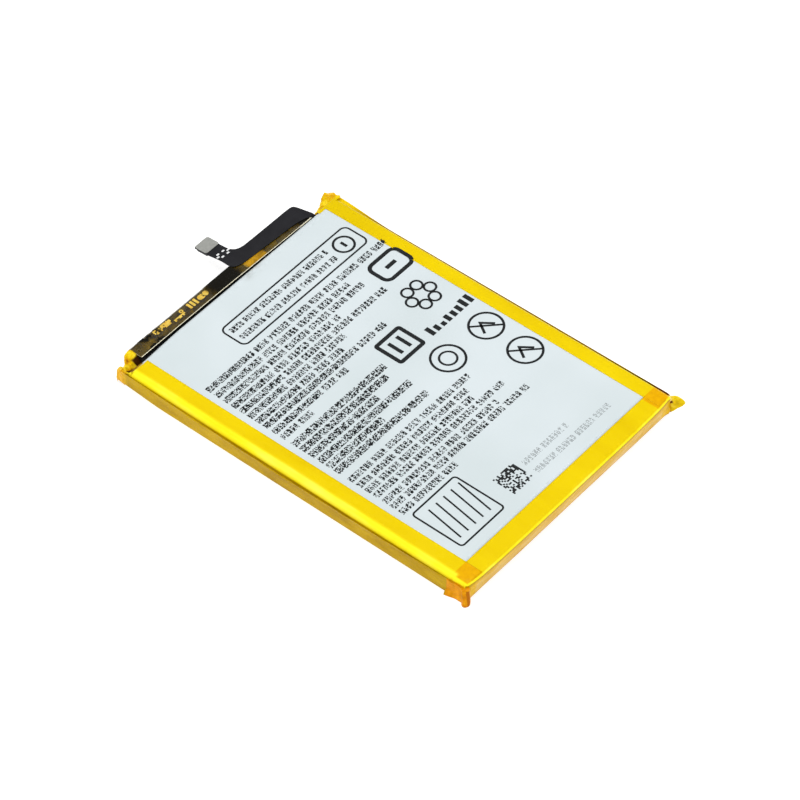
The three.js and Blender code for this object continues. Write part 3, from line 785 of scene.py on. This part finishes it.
def make_near_ear():
    """The same gusset at the near bottom corner, folded into a short upright pleat."""
    low = [(-32.4, -47.3), (-31.95, -48.2), (-32.9, -48.5), (-33.72, -47.8), (-33.2, -46.9)]
    high = [(-32.2, -47.2), (-31.8, -48.0), (-32.5, -48.35), (-33.32, -47.4), (-33.05, -46.9)]
    low, high = (curve_through([*ring, ring[0]], 5)[:-1] for ring in (low, high))
    levels = 15
    points = []
    for j in range(levels):
        t = j / (levels - 1)
        for a, b in zip(low, high):
            x, y = mix(a[0], b[0], t**0.8), mix(a[1], b[1], t**0.8)
            sway = 0.07 * wobble(x, y, 4 * t, 1.1, 2)
            points.append((x + sway, y - sway, mix(0.03, 4.45, t) + 0.25 * (x + 33) * t))
    ear = make_piece("near_bottom_ear", points, tube_faces(len(low), levels), TAPE)
    bevel(ear, 0.1)


make_cup_skin()
make_back_skin()
make_far_ear()
make_near_ear()

# ---------------------------------------------------------------- label
LABEL_ROLL = 0.75


def label_place(u, v):
    x = mix(LABEL_LO.x, LABEL_HI.x, u)
    y = mix(LABEL_LO.y, face_end(x) - 0.05, v)
    into = max(0, y - (face_end(x) - LABEL_ROLL))
    drop = LABEL_ROLL - math.sqrt(max(LABEL_ROLL**2 - into**2, 0))
    return x, y, LABEL_HI.z - drop * 0.8 + 0.006 * wobble(x, y, 0, 16)


label = grid_piece("printed_label_face", label_place, 61, 161, LABEL)
thicken(label, 0.05)
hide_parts("printed_label")


# ---------------------------------------------------------------- print
class Print:
    """Collects flat ink shapes on the face, all of them meaningless marks."""

    def __init__(self):
        self.points = []
        self.faces = []

    def quad(self, corners):
        middle = sum(x for x, y in corners) / len(corners)
        z = LABEL_HI.z + 0.016 if middle < FAR_TAPE_X - 0.1 else TOP + 0.012
        start = len(self.points)
        self.points += [(x, y, z) for x, y in corners]
        self.faces.append(tuple(range(start, start + len(corners))))

    def bar(self, x0, x1, y0, y1):
        self.quad([(x0, y0), (x1, y0), (x1, y1), (x0, y1)])

    def line(self, points, width, closed=False):
        """A stroke of even width along a polyline, mitred at its bends."""
        count = len(points)
        left, right = [], []
        for i, (x, y) in enumerate(points):
            before = points[i - 1] if i or closed else points[i]
            after = points[(i + 1) % count] if i < count - 1 or closed else points[i]
            a = Vector((x - before[0], y - before[1]))
            b = Vector((after[0] - x, after[1] - y))
            a = a.normalized() if a.length else b.normalized()
            b = b.normalized() if b.length else a
            across = (Vector((-a.y, a.x)) + Vector((-b.y, b.x))).normalized()
            reach = width / 2 / max(across.dot(Vector((-a.y, a.x))), 0.5)
            left.append((x + across.x * reach, y + across.y * reach))
            right.append((x - across.x * reach, y - across.y * reach))
        for i in range(count if closed else count - 1):
            j = (i + 1) % count
            self.quad([right[i], right[j], left[j], left[i]])

    def ring(self, x, y, radius, width, steps=40):
        self.line(arc(x, y, radius, 0, 360, steps)[:-1], width, closed=True)

    def cells(self, x, y, width, height, columns, rows, fill, gap=0.0):
        """A block of random cells, in runs along each row."""
        dx, dy = width / columns, height / rows
        for j in range(rows):
            run = None
            for i in range(columns + 1):
                on = i < columns and RANDOM.random() < fill
                if on and run is None:
                    run = i
                if run is not None and (not on or gap):
                    end = i + 1 if on else i
                    low = y + j * dy
                    self.bar(x + run * dx, x + end * dx - gap, low, low + dy - gap)
                    run = None

    def text(self, x0, x1, y, height, dense=0.0, weight=0.62, gap=0.0):
        """A greeked line: dense square blocks at first, for a share of it, then narrow ones."""
        x = x0
        letters = 0
        while x < x1 - 0.5:
            thick = x < mix(x0, x1, dense)
            width = height * (0.98 if thick else 0.46)
            if thick:
                self.cells(x, y, width, height, 8, 8, 0.6)
            elif gap:
                self.cells(x, y, width, height, 4, 6, weight, gap)
            else:
                self.cells(x, y, width, height, 4, 7, weight)
            x += width + height * (0.1 if thick else 0.15)
            letters += 1
            if letters > RANDOM.choice((3, 5, 6, 8)) and not thick:
                x += height * 0.35
                letters = 0


RANDOM = random.Random(7)
LEFT = -26.3
RATING_LINES = [  # (height on the face, end of the line, dense share)
    (26.2, 29.0, 0.2), (23.8, 15.1, 0.26), (21.5, 16.5, 0.26), (19.2, 7.2, 0.3), (17.0, 18.5, 0.25),
    (14.8, 3.8, 0.34), (12.6, 1.0, 0.38), (10.5, 10.9, 0.7), (8.2, -3.8, 0.55), (5.9, -16.0, 0.0),
]
DENSE_LINES = [(2.8, 1.6), (0.5, -0.3), (-1.8, -5.8), (-4.2, 2.4), (-6.5, -9.5), (-8.7, 1.6)]
FINE_LINES = [
    (-12.2, 11.7), (-14.5, 7.8), (-16.7, 6.5), (-18.8, 14.3), (-21.2, 8.8), (-23.3, 16.2), (-25.6, -9.2),
]


def make_print():
    ink = Print()
    ink.line(rounded_rect(-12.1, 27.1, 28.7, 35.6, 1.4), 0.42, closed=True)
    for y in (32.9, 30.1):
        ink.text(-10.9, 19.6, y, 1.5)
    ink.ring(22.9, 32.1, 2.3, 0.55)
    ink.bar(22.55, 23.25, 31.2, 33.0)
    for y, end, dense in RATING_LINES:
        ink.text(LEFT, end, y - 0.8, 1.6, dense)
    for y, end in DENSE_LINES:
        ink.text(LEFT, end, y - 0.85, 1.75, dense=1.0)
    for y, end in FINE_LINES:
        ink.text(LEFT, end, y - 0.8, 1.55)
    make_marks(ink)
    sheet = make_piece("printed_marks", ink.points, ink.faces, INK, smooth_shading=False)
    thicken(sheet, 0.01)


def make_marks(ink):
    """Plain shapes where a label has its marks: rings, frames, bars and a block of cells."""
    ink.line(rounded_rect(20.4, 28.9, 17.6, 23.6, 1.6), 0.95, closed=True)
    ink.bar(23.2, 26.2, 20.1, 21.1)
    for i in range(6):
        angle = math.radians(60 * i)
        ink.ring(22.0 + 2.9 * math.cos(angle), 10.0 + 2.9 * math.sin(angle), 1.3, 0.5, 18)
    ink.line(rounded_rect(4.7, 11.9, 0.7, 7.6, 0.4), 0.95, closed=True)
    for x in (7.0, 9.6):
        ink.bar(x - 0.45, x + 0.45, 2.2, 6.2)
    for i, tall in enumerate((2.6, 1.8, 1.2, 2.0, 1.8, 2.0, 2.6, 2.6)):
        ink.bar(14.6 + 1.75 * i, 15.7 + 1.75 * i, 0.4, 0.4 + tall)
    for x, y in ((11.7, -6.0), (23.7, -6.2), (23.5, -16.8)):
        ink.ring(x, y, 3.7, 0.55)
    ink.ring(11.7, -6.0, 1.9, 0.5, 24)
    for x, y in ((23.7, -6.2), (23.5, -16.8)):
        ink.line([(x - 2.5, y + 2.5), (x + 2.5, y - 2.5)], 0.5)
        ink.line([(x - 1.9, y - 1.2), (x - 0.2, y + 1.5), (x + 1.7, y - 1.0)], 0.6)
    ink.line(rounded_rect(-25.3, -12.1, -40.6, -27.6, 0.8), 0.42, closed=True)
    for i in range(5):
        ink.line([(-23.6 + 2.3 * i, -38.9), (-22.2 + 2.3 * i, -29.3)], 0.4)
    ink.cells(-8.2, -40.0, 6.0, 5.8, 15, 15, 0.5)
    ink.text(-0.8, 13.5, -36.9, 1.5, gap=0.09, weight=0.62)
    ink.text(-0.8, 23.2, -40.1, 1.5, gap=0.09, weight=0.62)


make_print()


# ---------------------------------------------------------------- side tapes
def side_section(inner, y, lift, rise=0.0, side=0):
    """Half section of a side tape at y, outward from the face: flat, shoulder, the groove
    behind the seal's free edge, the seal's outer face, the bottom fold, the back. Towards the
    far terrace corner the tape stands out from the cell and closes the groove."""
    top = TOP - 0.01
    height = seal_top(y) + lift * smooth(-y, -44, 40)
    flare = smooth(y, 27, 43.4) if side > 0 else 0
    groove = 1 - 0.9 * flare
    lean = seal_lean(y) + FLANGE["flare"] * flare
    radius = SHOULDER["radius"]
    shoulder = arc(SHOULDER["x"], top - radius, radius, 90, SHOULDER["end"], 12)
    foot = (32.66 + 0.2 * lean, height - 0.16 * groove)
    crest = height + 0.1 * flare
    points = [(mix(inner, SHOULDER["x"], i / 12), top) for i in range(12)]
    points += shoulder
    points += [
        (mix(shoulder[-1][0], foot[0], 0.6), mix(shoulder[-1][1], foot[1], 0.5)),
        foot,
        (32.71 + 0.4 * lean, crest - 0.4 * groove),
        (32.78 + 0.7 * lean, crest - 0.3 * groove),
        (32.84 + 0.9 * lean, height - 0.04),
    ]
    points += arc(FACE + lean - 0.08, height - 0.02, 0.08, 130, 0, 4)
    for i in range(1, 11):
        z = mix(height - 0.05, 0.62 + rise, i / 10)
        share = clamp((z - 0.62) / (height - 0.62)) ** 1.3
        points.append((FACE + lean * share, z))
    points += arc(FACE - FLANGE["foot"], 0.62 + rise, FLANGE["foot"], -15, -90, 6)
    points.append((30.5, 0.03))
    return points


def side_tape(name, side, inner, lift, ends, node):
    """A tape over one long side. side is -1 for the near side and 1 for the far side. ends are
    where it stops towards the terrace: at its inner edge, on the shoulder and on the seal."""
    rows, columns = 201, len(side_section(inner, 0, lift))
    tuck = 0.8

    def place(u, v):
        i = round(u * (columns - 1))
        rest_x, rest_z = side_section(inner, 0, lift)[i]
        outer = smooth(rest_x, 32.3, 32.75)
        begin = mix(-47.75, -47.35, outer) if rest_z > 0.5 else -46.7
        stop = mix(mix(ends[0], ends[1], smooth(rest_x, 29, 32.3)), ends[2], outer)
        y = mix(begin, stop, v)
        bow = 0.1 * wobble(0, y, 0, 30, side) + 0.2 * smooth(abs(y), 20, 46)
        x, z = side_section(inner - bow * 0.5, y, lift, foot_rise(side, y), side)[i]
        if x > 32.84 and z < seal_top(y):
            x += 0.05 * wobble(x, y, z, 3.2, 4) * smooth(z, 0.3, 1.2) - 0.02
        elif z > 5:
            z += 0.014 * wobble(x, y, z, 2.6, 7) * smooth(x, inner + 0.3, inner + 2)
        corner = clamp((-46.55 - y) / tuck)
        x -= 0.55 * rolled(corner) * smooth(x, 31, 32.5)
        if z > 4.3:
            z -= end_drop(x, y) + 0.3 * rolled(corner) * smooth(x, 30.5, 32)
        roll = clamp((y - face_end(side * x) + 0.8) / 0.8)
        if z > 4.6:
            z -= 0.7 * rolled(roll) * (1 - smooth(rest_x, 31.9, 32.5))
        return side * x, y, z

    tape = grid_piece(name, place, columns, rows, TAPE, flip=side < 0)
    thicken(tape, 0.05)
    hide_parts(node)


side_tape("near_tape_film", -1, NEAR_TAPE_X, 0, (41.55, 41.9, 44.6), "near_side_tape")
side_tape("far_tape_film", 1, FAR_TAPE_X, 0.25, (42.15, 43.2, 43.3), "far_side_tape")


# ---------------------------------------------------------------- bottom end tape
def end_section(x):
    """Section of the end tape at x, from the face over the edge, down the wall and under."""
    top = LABEL_HI.z + 0.01
    radius, foot = END["radius"], END["foot"]
    flat = end_flat(x)
    points = [(mix(END_TAPE_Y, flat, i / 10), top) for i in range(10)]
    points += arc(flat, top - radius, radius, 90, 180, 12)
    low = 0.4
    for i in range(1, 11):
        share = i / 10
        points.append((mix(flat - radius, foot, share**1.2), mix(top - radius, low, share)))
    points += [(foot + 0.1, 0.12), (foot + 0.8, 0.03), (-44.6, 0.03)]
    return points


def make_end_tape():
    rows = len(end_section(0))
    half = 32.58
    bend = 0.8

    def place(u, v):
        x = mix(-half, half, u)
        y, z = end_section(x)[round(v * (rows - 1))]
        if y < BOTTOM_Y + 0.9 and z < 4.9:
            hollow = smooth(z, 0.2, 1.6) * smooth(4.9 - z, 0, 1.6)
            depth = 0.1 + 0.09 * wobble(x, 0, z, 9, 3) + 0.06 * wobble(x, 0, z, 2.5, 8)
            y += hollow * depth * smooth(half - abs(x), 0, 4)
        if z < 1:
            z += 0.3 * smooth(-y, 46.6, 47.4) * (0.5 + 0.5 * wobble(x, 0, 0, 11, 9))
        edge = clamp((abs(x) - half + bend) / bend)
        y += bend * 0.7 * rolled(edge) * smooth(-y, 46, 47.3)
        if x > 30:
            lump = smooth(x, 31.2, 32.3) * smooth(z, 3.8, 4.5) * smooth(-y, 46.9, 47.3)
            y -= 0.3 * lump
            y -= 0.3 * smooth(x, 30.8, 32.5) * smooth(3.0 - z, 0, 2)
        z -= 0.95 * side_drop(x) * smooth(z, 3.4, 5.0)
        return x, y, z

    tape = grid_piece("bottom_end_tape_film", place, 221, rows, TAPE, flip=True)
    thicken(tape, 0.05)
    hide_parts("bottom_end_tape")


def make_corner_lap(side):
    """The end tape's tail, lapped round the corner onto the side seal and flaring below it."""
    y0, y1 = -47.45, -43.4 if side < 0 else -45.6

    def place(u, v):
        y = mix(y0, y1 + 0.8 * (1 - v), u)
        height = seal_top(y) + 0.06
        flare = smooth(y, -45.6, -42.4) * smooth(1 - v, 0.5, 1)
        z = mix(0.12 - 0.1 * flare, height, v)
        share = clamp((z - 0.62) / (height - 0.62)) ** 1.3
        x = FACE + seal_lean(y) * share + 0.03 + 0.55 * flare
        x -= 0.35 * smooth(-y, 46.9, 47.45)
        x += 0.05 * wobble(y, z, 0, 1.3, 5)
        return side * x, y + 0.12 * wobble(z, 0, 0, 1.4, 3) * u, z

    name = "near_corner_lap" if side < 0 else "far_corner_lap"
    lap = grid_piece(name, place, 33, 21, TAPE)
    thicken(lap, 0.05, offset=0)


make_end_tape()
make_corner_lap(-1)
make_corner_lap(1)


# ---------------------------------------------------------------- crumpled terrace corners
def crumple(x, y, size, seed):
    """Creased noise: sharp ridges between soft hollows, from about -0.5 to 0.5."""
    first = 1 - 2 * abs(wobble(x, y, 0, size, seed))
    second = 1 - 2 * abs(wobble(x, y, 0, size / 2.1, seed + 5))
    return first * 0.6 + second * 0.3 - 0.45


def terrace_corner(name, node, side, lead, profile, board_end, seed):
    """A scrap of tape crumpled over one end of the terrace. lead takes it from the side tape's
    end down to the terrace, as (y, z). From the folded seal it dips and then rises again to the
    end of the board: profile gives, for a few points across, (x, height, start, end) of its
    ridge along the terrace."""
    line = curve_through(profile, 10)

    def place(u, v):
        x, height, start, end = line[round(u * (len(line) - 1))]
        inner = smooth(u, 0.1, 0.2)
        sunk = 1.3 * smooth(28.9 - x, 0, 0.5) * (side < 0)
        rail = [(mix(start, y, inner), mix(height, z - sunk, inner)) for y, z in lead]
        rail += [(start, height), (mix(start, end, 0.5), height + 0.12), (end, height - 0.2)]
        rail += [(end + 0.25, height * 0.45), (end + 0.2, 0.15)]
        y, z = along(rail, v)
        foot = 0.15
        if u < 0.14:
            foot += foot_rise(side, y) + 0.5 * smooth(y, 43.5, 46) * (side < 0)
            z = mix(foot, max(z, foot), smooth(u, 0, 0.13))
        folded = smooth(y, start - 0.5, start + 0.5) * smooth(z, 0.3, 1.5)
        rough = crumple(x, y + z, 1.5, seed)
        z = max(foot, z + 0.55 * rough * folded * smooth(u, 0.05, 0.16))
        x += 0.3 * crumple(y, z, 1.3, seed + 2) * folded * smooth(1 - u, 0, 0.1) * smooth(u, 0, 0.2)
        y += 0.22 * crumple(x, z, 1.2, seed + 4) * folded
        x = clamp(x, board_end, FACE + 0.75)
        return side * x, min(y, 47.8), z

    scrap = grid_piece(name, place, 57, 61, TAPE, flip=side < 0)
    thicken(scrap, 0.06, offset=0)
    subdivide(scrap, 1)
    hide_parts(node)


NEAR_LEAD = [(41.7, 5.4), (42.2, 5.25), (42.6, 4.8), (42.8, 4.0), (43.0, 2.8), (43.3, 2.6)]
FAR_LEAD = [(42.0, 5.52), (42.5, 5.5), (42.9, 5.3)]
terrace_corner("near_corner_crumple", "near_terrace_corner_tape", -1, NEAR_LEAD, [
    (32.9, 4.2, 43.6, 44.9), (32.8, 4.3, 43.6, 45.6), (32.2, 4.2, 43.6, 46.0), (31.3, 3.7, 43.8, 46.0),
    (30.2, 3.4, 44.2, 46.0), (29.3, 3.7, 44.7, 46.8), (28.3, 4.2, 45.2, 47.6), (27.1, 4.4, 45.5, 47.6),
], 27.1, 3)
terrace_corner("far_corner_crumple", "far_terrace_corner_tape", 1, FAR_LEAD, [
    (33.8, 4.4, 42.9, 44.0), (33.6, 4.8, 42.9, 45.0), (32.6, 5.05, 43.0, 45.8), (31.5, 5.0, 43.2, 45.6),
    (30.3, 4.8, 43.3, 45.0), (29.1, 4.7, 43.2, 44.4), (27.8, 4.6, 43.1, 43.9), (26.5, 4.5, 43.0, 43.7),
], 26.4, 11)


# ---------------------------------------------------------------- foam pad under the board
def make_foam_pad():
    lo, hi = box_mm("terrace_insulating_pad")
    middle_y, middle_z = (lo.y + hi.y) / 2, (lo.z + hi.z) / 2
    half_y, half_z = (hi.y - lo.y) / 2, (hi.z - lo.z) / 2
    columns, rows = 36, 121
    points = []
    for j in range(rows):
        x = mix(lo.x + 0.05, hi.x - 0.05, j / (rows - 1))
        ease = min(x - lo.x, hi.x - x)
        close = math.sqrt(clamp(1 - (1 - clamp(ease / 0.5)) ** 2, 0.04, 1))
        for i in range(columns):
            angle = 2 * math.pi * i / columns
            cos, sin = math.cos(angle), math.sin(angle)
            y = middle_y + half_y * close * math.copysign(abs(cos) ** 0.35, cos)
            z = middle_z + half_z * close * math.copysign(abs(sin) ** 0.45, sin) * 0.97
            z += 0.05 * wobble(x, y, z, 3, 2) * abs(sin)
            points.append((x, clamp(y, lo.y, hi.y), clamp(z, lo.z, hi.z)))
    pad = make_piece("terrace_foam_pad", points, tube_faces(columns, rows), FOAM)
    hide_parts("terrace_insulating_pad")


make_foam_pad()


# ---------------------------------------------------------------- board wrap
def wrap_place(u, v):
    """From the board's inner edge over the top, round the outer edge and down. Past the end of
    the foam pad it is folded down on the inside as well."""
    x = mix(WRAP_LO.x, 25.3, u)
    top = WRAP_HI.z - 0.03
    inner_y = WRAP_LO.y + 0.02 - EDGE_SHIFT - EDGE_DRIFT * smooth(x, -10, 25)
    outline = [
        (inner_y + 0.03, top - 3.4 * smooth(x, 21.4, 21.8)),
        (inner_y, top),
        (WRAP_HI.y - 0.4, top),
        *arc(WRAP_HI.y - 0.44, top - 0.4, 0.4, 90, 0, 6),
        (WRAP_HI.y - 0.06, 0.2),
    ]
    y, z = along(outline, v)
    if z > top - 0.3:
        z += 0.025 * wobble(x, y, 0, 1.7, 2)
    else:
        y += 0.04 * wobble(x, 0, z, 2.2, 6)
    return x, y, z


wrap = grid_piece("board_wrap_film", wrap_place, 261, 61, WRAP)
thicken(wrap, 0.035)
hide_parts("board_wrap_tape")


def make_board_marks():
    """Bare gold flakes on the board beside the test pads."""
    points, faces = [], []
    z = BOARD_HI.z + 0.05
    for x0, x1, y0, y1, across, up in (
        (-20.8, -16.2, 45.5, 46.9, 14, 4),
        (-15.8, -12.2, 45.0, 45.7, 9, 2),
        (-7.4, -4.9, 45.2, 46.5, 6, 4),
    ):
        dx, dy = (x1 - x0) / across, (y1 - y0) / up
        for i in range(across * up):
            if RANDOM.random() < 0.5:
                continue
            x, y = x0 + dx * (i % across), y0 + dy * (i // across)
            start = len(points)
            points += [(x, y, z), (x + dx, y, z), (x + dx, y + dy, z), (x, y + dy, z)]
            faces.append(tuple(range(start, start + 4)))
    flakes = make_piece("board_gold_flakes", points, faces, GOLD, smooth_shading=False)
    thicken(flakes, 0.02)


make_board_marks()

# ---------------------------------------------------------------- flex lead
HINGE_ROOT = HINGES["flex_root_bend"]
HINGE_TIP = HINGES["flex_tip_bend"]
TIP_LO, TIP_HI = box_mm("flex_tip")
TIP_END_Z = TIP_LO.z + 0.09
FILM = 0.15
SEAM_Y = 51.2


def flex_height(x, y):
    """Middle of the film: level on the board, drooping in a gentle S along the tail, and turned
    down into the gap beside the cell at the far end of the arm."""
    start = HINGE_ROOT.y - 0.6
    root = HINGE_ROOT.z
    if y < 44.2 and x > 23.8:
        into = clamp((44.1 - y) / 1.0)
        return root - 0.85 * rolled(into) * smooth(x, 24.0, 25.0)
    if y <= start:
        return root
    middle = HINGE_TIP.z
    if y < HINGE_TIP.y:
        t = (y - start) / (HINGE_TIP.y - start)
        return mix(root, middle, t * t * (1.65 - 0.65 * t))
    t = (y - HINGE_TIP.y) / (TIP_HI.y - HINGE_TIP.y)
    return mix(middle, TIP_END_Z, t)


def flex_film(name, inner, outer, columns, rows):
    """A film between two edges, its height following the flex past both hinges."""
    def place(u, v):
        a, b = along(inner, u), along(outer, u)
        x, y = mix(a[0], b[0], v), mix(a[1], b[1], v)
        tucked = 1.6 * smooth(x, 24.4, 25.2) * (1 - smooth(v, 0, 1.5 / rows))
        return x, y, flex_height(x, y) - tucked

    film = grid_piece(name, place, columns, rows, FLEX, body=None)
    bend_between(film)
    thicken(film, FILM, offset=0)
    bevel(film, 0.03, 2)
    return film


def bend_between(piece):
    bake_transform(piece)


ARM_INNER = curve_through([
    (26.15, 43.1), (25.2, 43.2), (24.5, 43.8), (22.9, 44.25), (20.6, 44.6), (14, 44.95),
    (7.5, 45.3), (5.2, 45.6), (3.9, 46.2), (3.42, 47.2), (3.4, 49.3), (3.36, SEAM_Y),
], 8)
ARM_OUTER = curve_through([
    (26.35, 43.4), (25.95, 45.2), (25.4, 47.6), (24.9, 48.4), (23.6, 48.66), (20, 48.7), (16, 48.72),
    (12, 48.75), (9.6, 48.85), (8.3, 49.2), (7.6, 49.85), (7.25, 50.6), (7.2, SEAM_Y),
], 8)
TIP_INNER = [(3.36, SEAM_Y), (TIP_LO.x + 0.02, 56.2), *arc(3.72, 56.68, 0.45, 180, 90, 8)]
TIP_OUTER = [(7.2, SEAM_Y), (TIP_HI.x - 0.02, 56.2), *arc(6.7, 56.35, 0.78, 0, 90, 8)]

flex_root = flex_film("flex_arm_film", ARM_INNER, ARM_OUTER, 221, 25)
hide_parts("flex_arm", "flex_neck")
flex_end = flex_film("flex_tip_film", TIP_INNER, TIP_OUTER, 61, 17)
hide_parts("flex_tip")


def make_stiffener():
    """A thin rounded plate bonded on the tip, over the connector."""
    lo, hi = box_mm("flex_stiffener")
    outline = rounded_rect(lo.x - 0.02, hi.x + 0.02, lo.y, hi.y - 0.02, 0.55)
    points, faces = prism(outline, 0, 0.2)
    points = [(x, y, z + flex_height(x, y) + FILM / 2) for x, y, z in points]
    plate = make_piece("tip_stiffener_plate", points, faces, STIFFENER, TIP, smooth_shading=False)
    bevel(plate, 0.05)
    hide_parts("flex_stiffener")


def make_neck_pads():
    """Small solder pads on the neck."""
    points, faces = [], []
    spots = ((3.85, 50.7), (4.5, 51.35), (4.6, 50.0), (6.0, 51.25), (6.15, 49.95), (6.85, 50.6))
    for x, y in spots:
        part, sides = prism(rounded_rect(x - 0.34, x + 0.34, y - 0.24, y + 0.24, 0.06, 2), 0, 0.03)
        faces += [tuple(i + len(points) for i in side) for side in sides]
        points += [(px, py, pz + flex_height(px, py) + FILM / 2) for px, py, pz in part]
    pads = make_piece("neck_solder_pads", points, faces, SOLDER, body=None, smooth_shading=False)
    bend_between(pads)


make_stiffener()
make_neck_pads()


# ---------------------------------------------------------------- floor, light
def make_floor():
    half = 3.0
    mesh = bpy.data.meshes.new("floor")
    corners = [(-half, -half, 0), (half, -half, 0), (half, half, 0), (-half, half, 0)]
    mesh.from_pydata(corners, [], [(0, 1, 2, 3)])
    floor = bpy.data.objects.new("floor", mesh)
    floor.location.z = -0.03 * MM
    bpy.context.scene.collection.objects.link(floor)
    m = Nodes("floor_card", srgb(190, 190, 190), 0.9, Specular_IOR_Level=0.0)
    m.set("Emission Color", (1, 1, 1, 1))
    m.set("Emission Strength", 0.75)
    mesh.materials.append(m.material)


def area_light(name, place, size, power, color=(1, 1, 1)):
    """A soft box that faces the cell."""
    data = bpy.data.lights.new(name, "AREA")
    data.shape = "RECTANGLE"
    data.size, data.size_y = size
    data.energy = power
    data.color = color
    light = bpy.data.objects.new(name, data)
    light.location = place
    light.rotation_euler = (-Vector(place)).to_track_quat("-Z", "Y").to_euler()
    bpy.context.scene.collection.objects.link(light)


def make_light():
    world = bpy.data.worlds.new("studio")
    bpy.context.scene.world = world
    world.use_nodes = True
    background = world.node_tree.nodes["Background"]
    background.inputs["Color"].default_value = (1, 1, 1, 1)
    background.inputs["Strength"].default_value = 0.5
    area_light("top", (0.1, 0.2, 1.4), (1.2, 1.2), 12)
    area_light("left_strip", (-0.85, 0.5, 0.6), (0.9, 0.35), 4)
    area_light("right_strip", (0.55, -0.85, 0.5), (0.9, 0.35), 3)


make_floor()
make_light()
bpy.context.scene.view_settings.view_transform = "Standard"
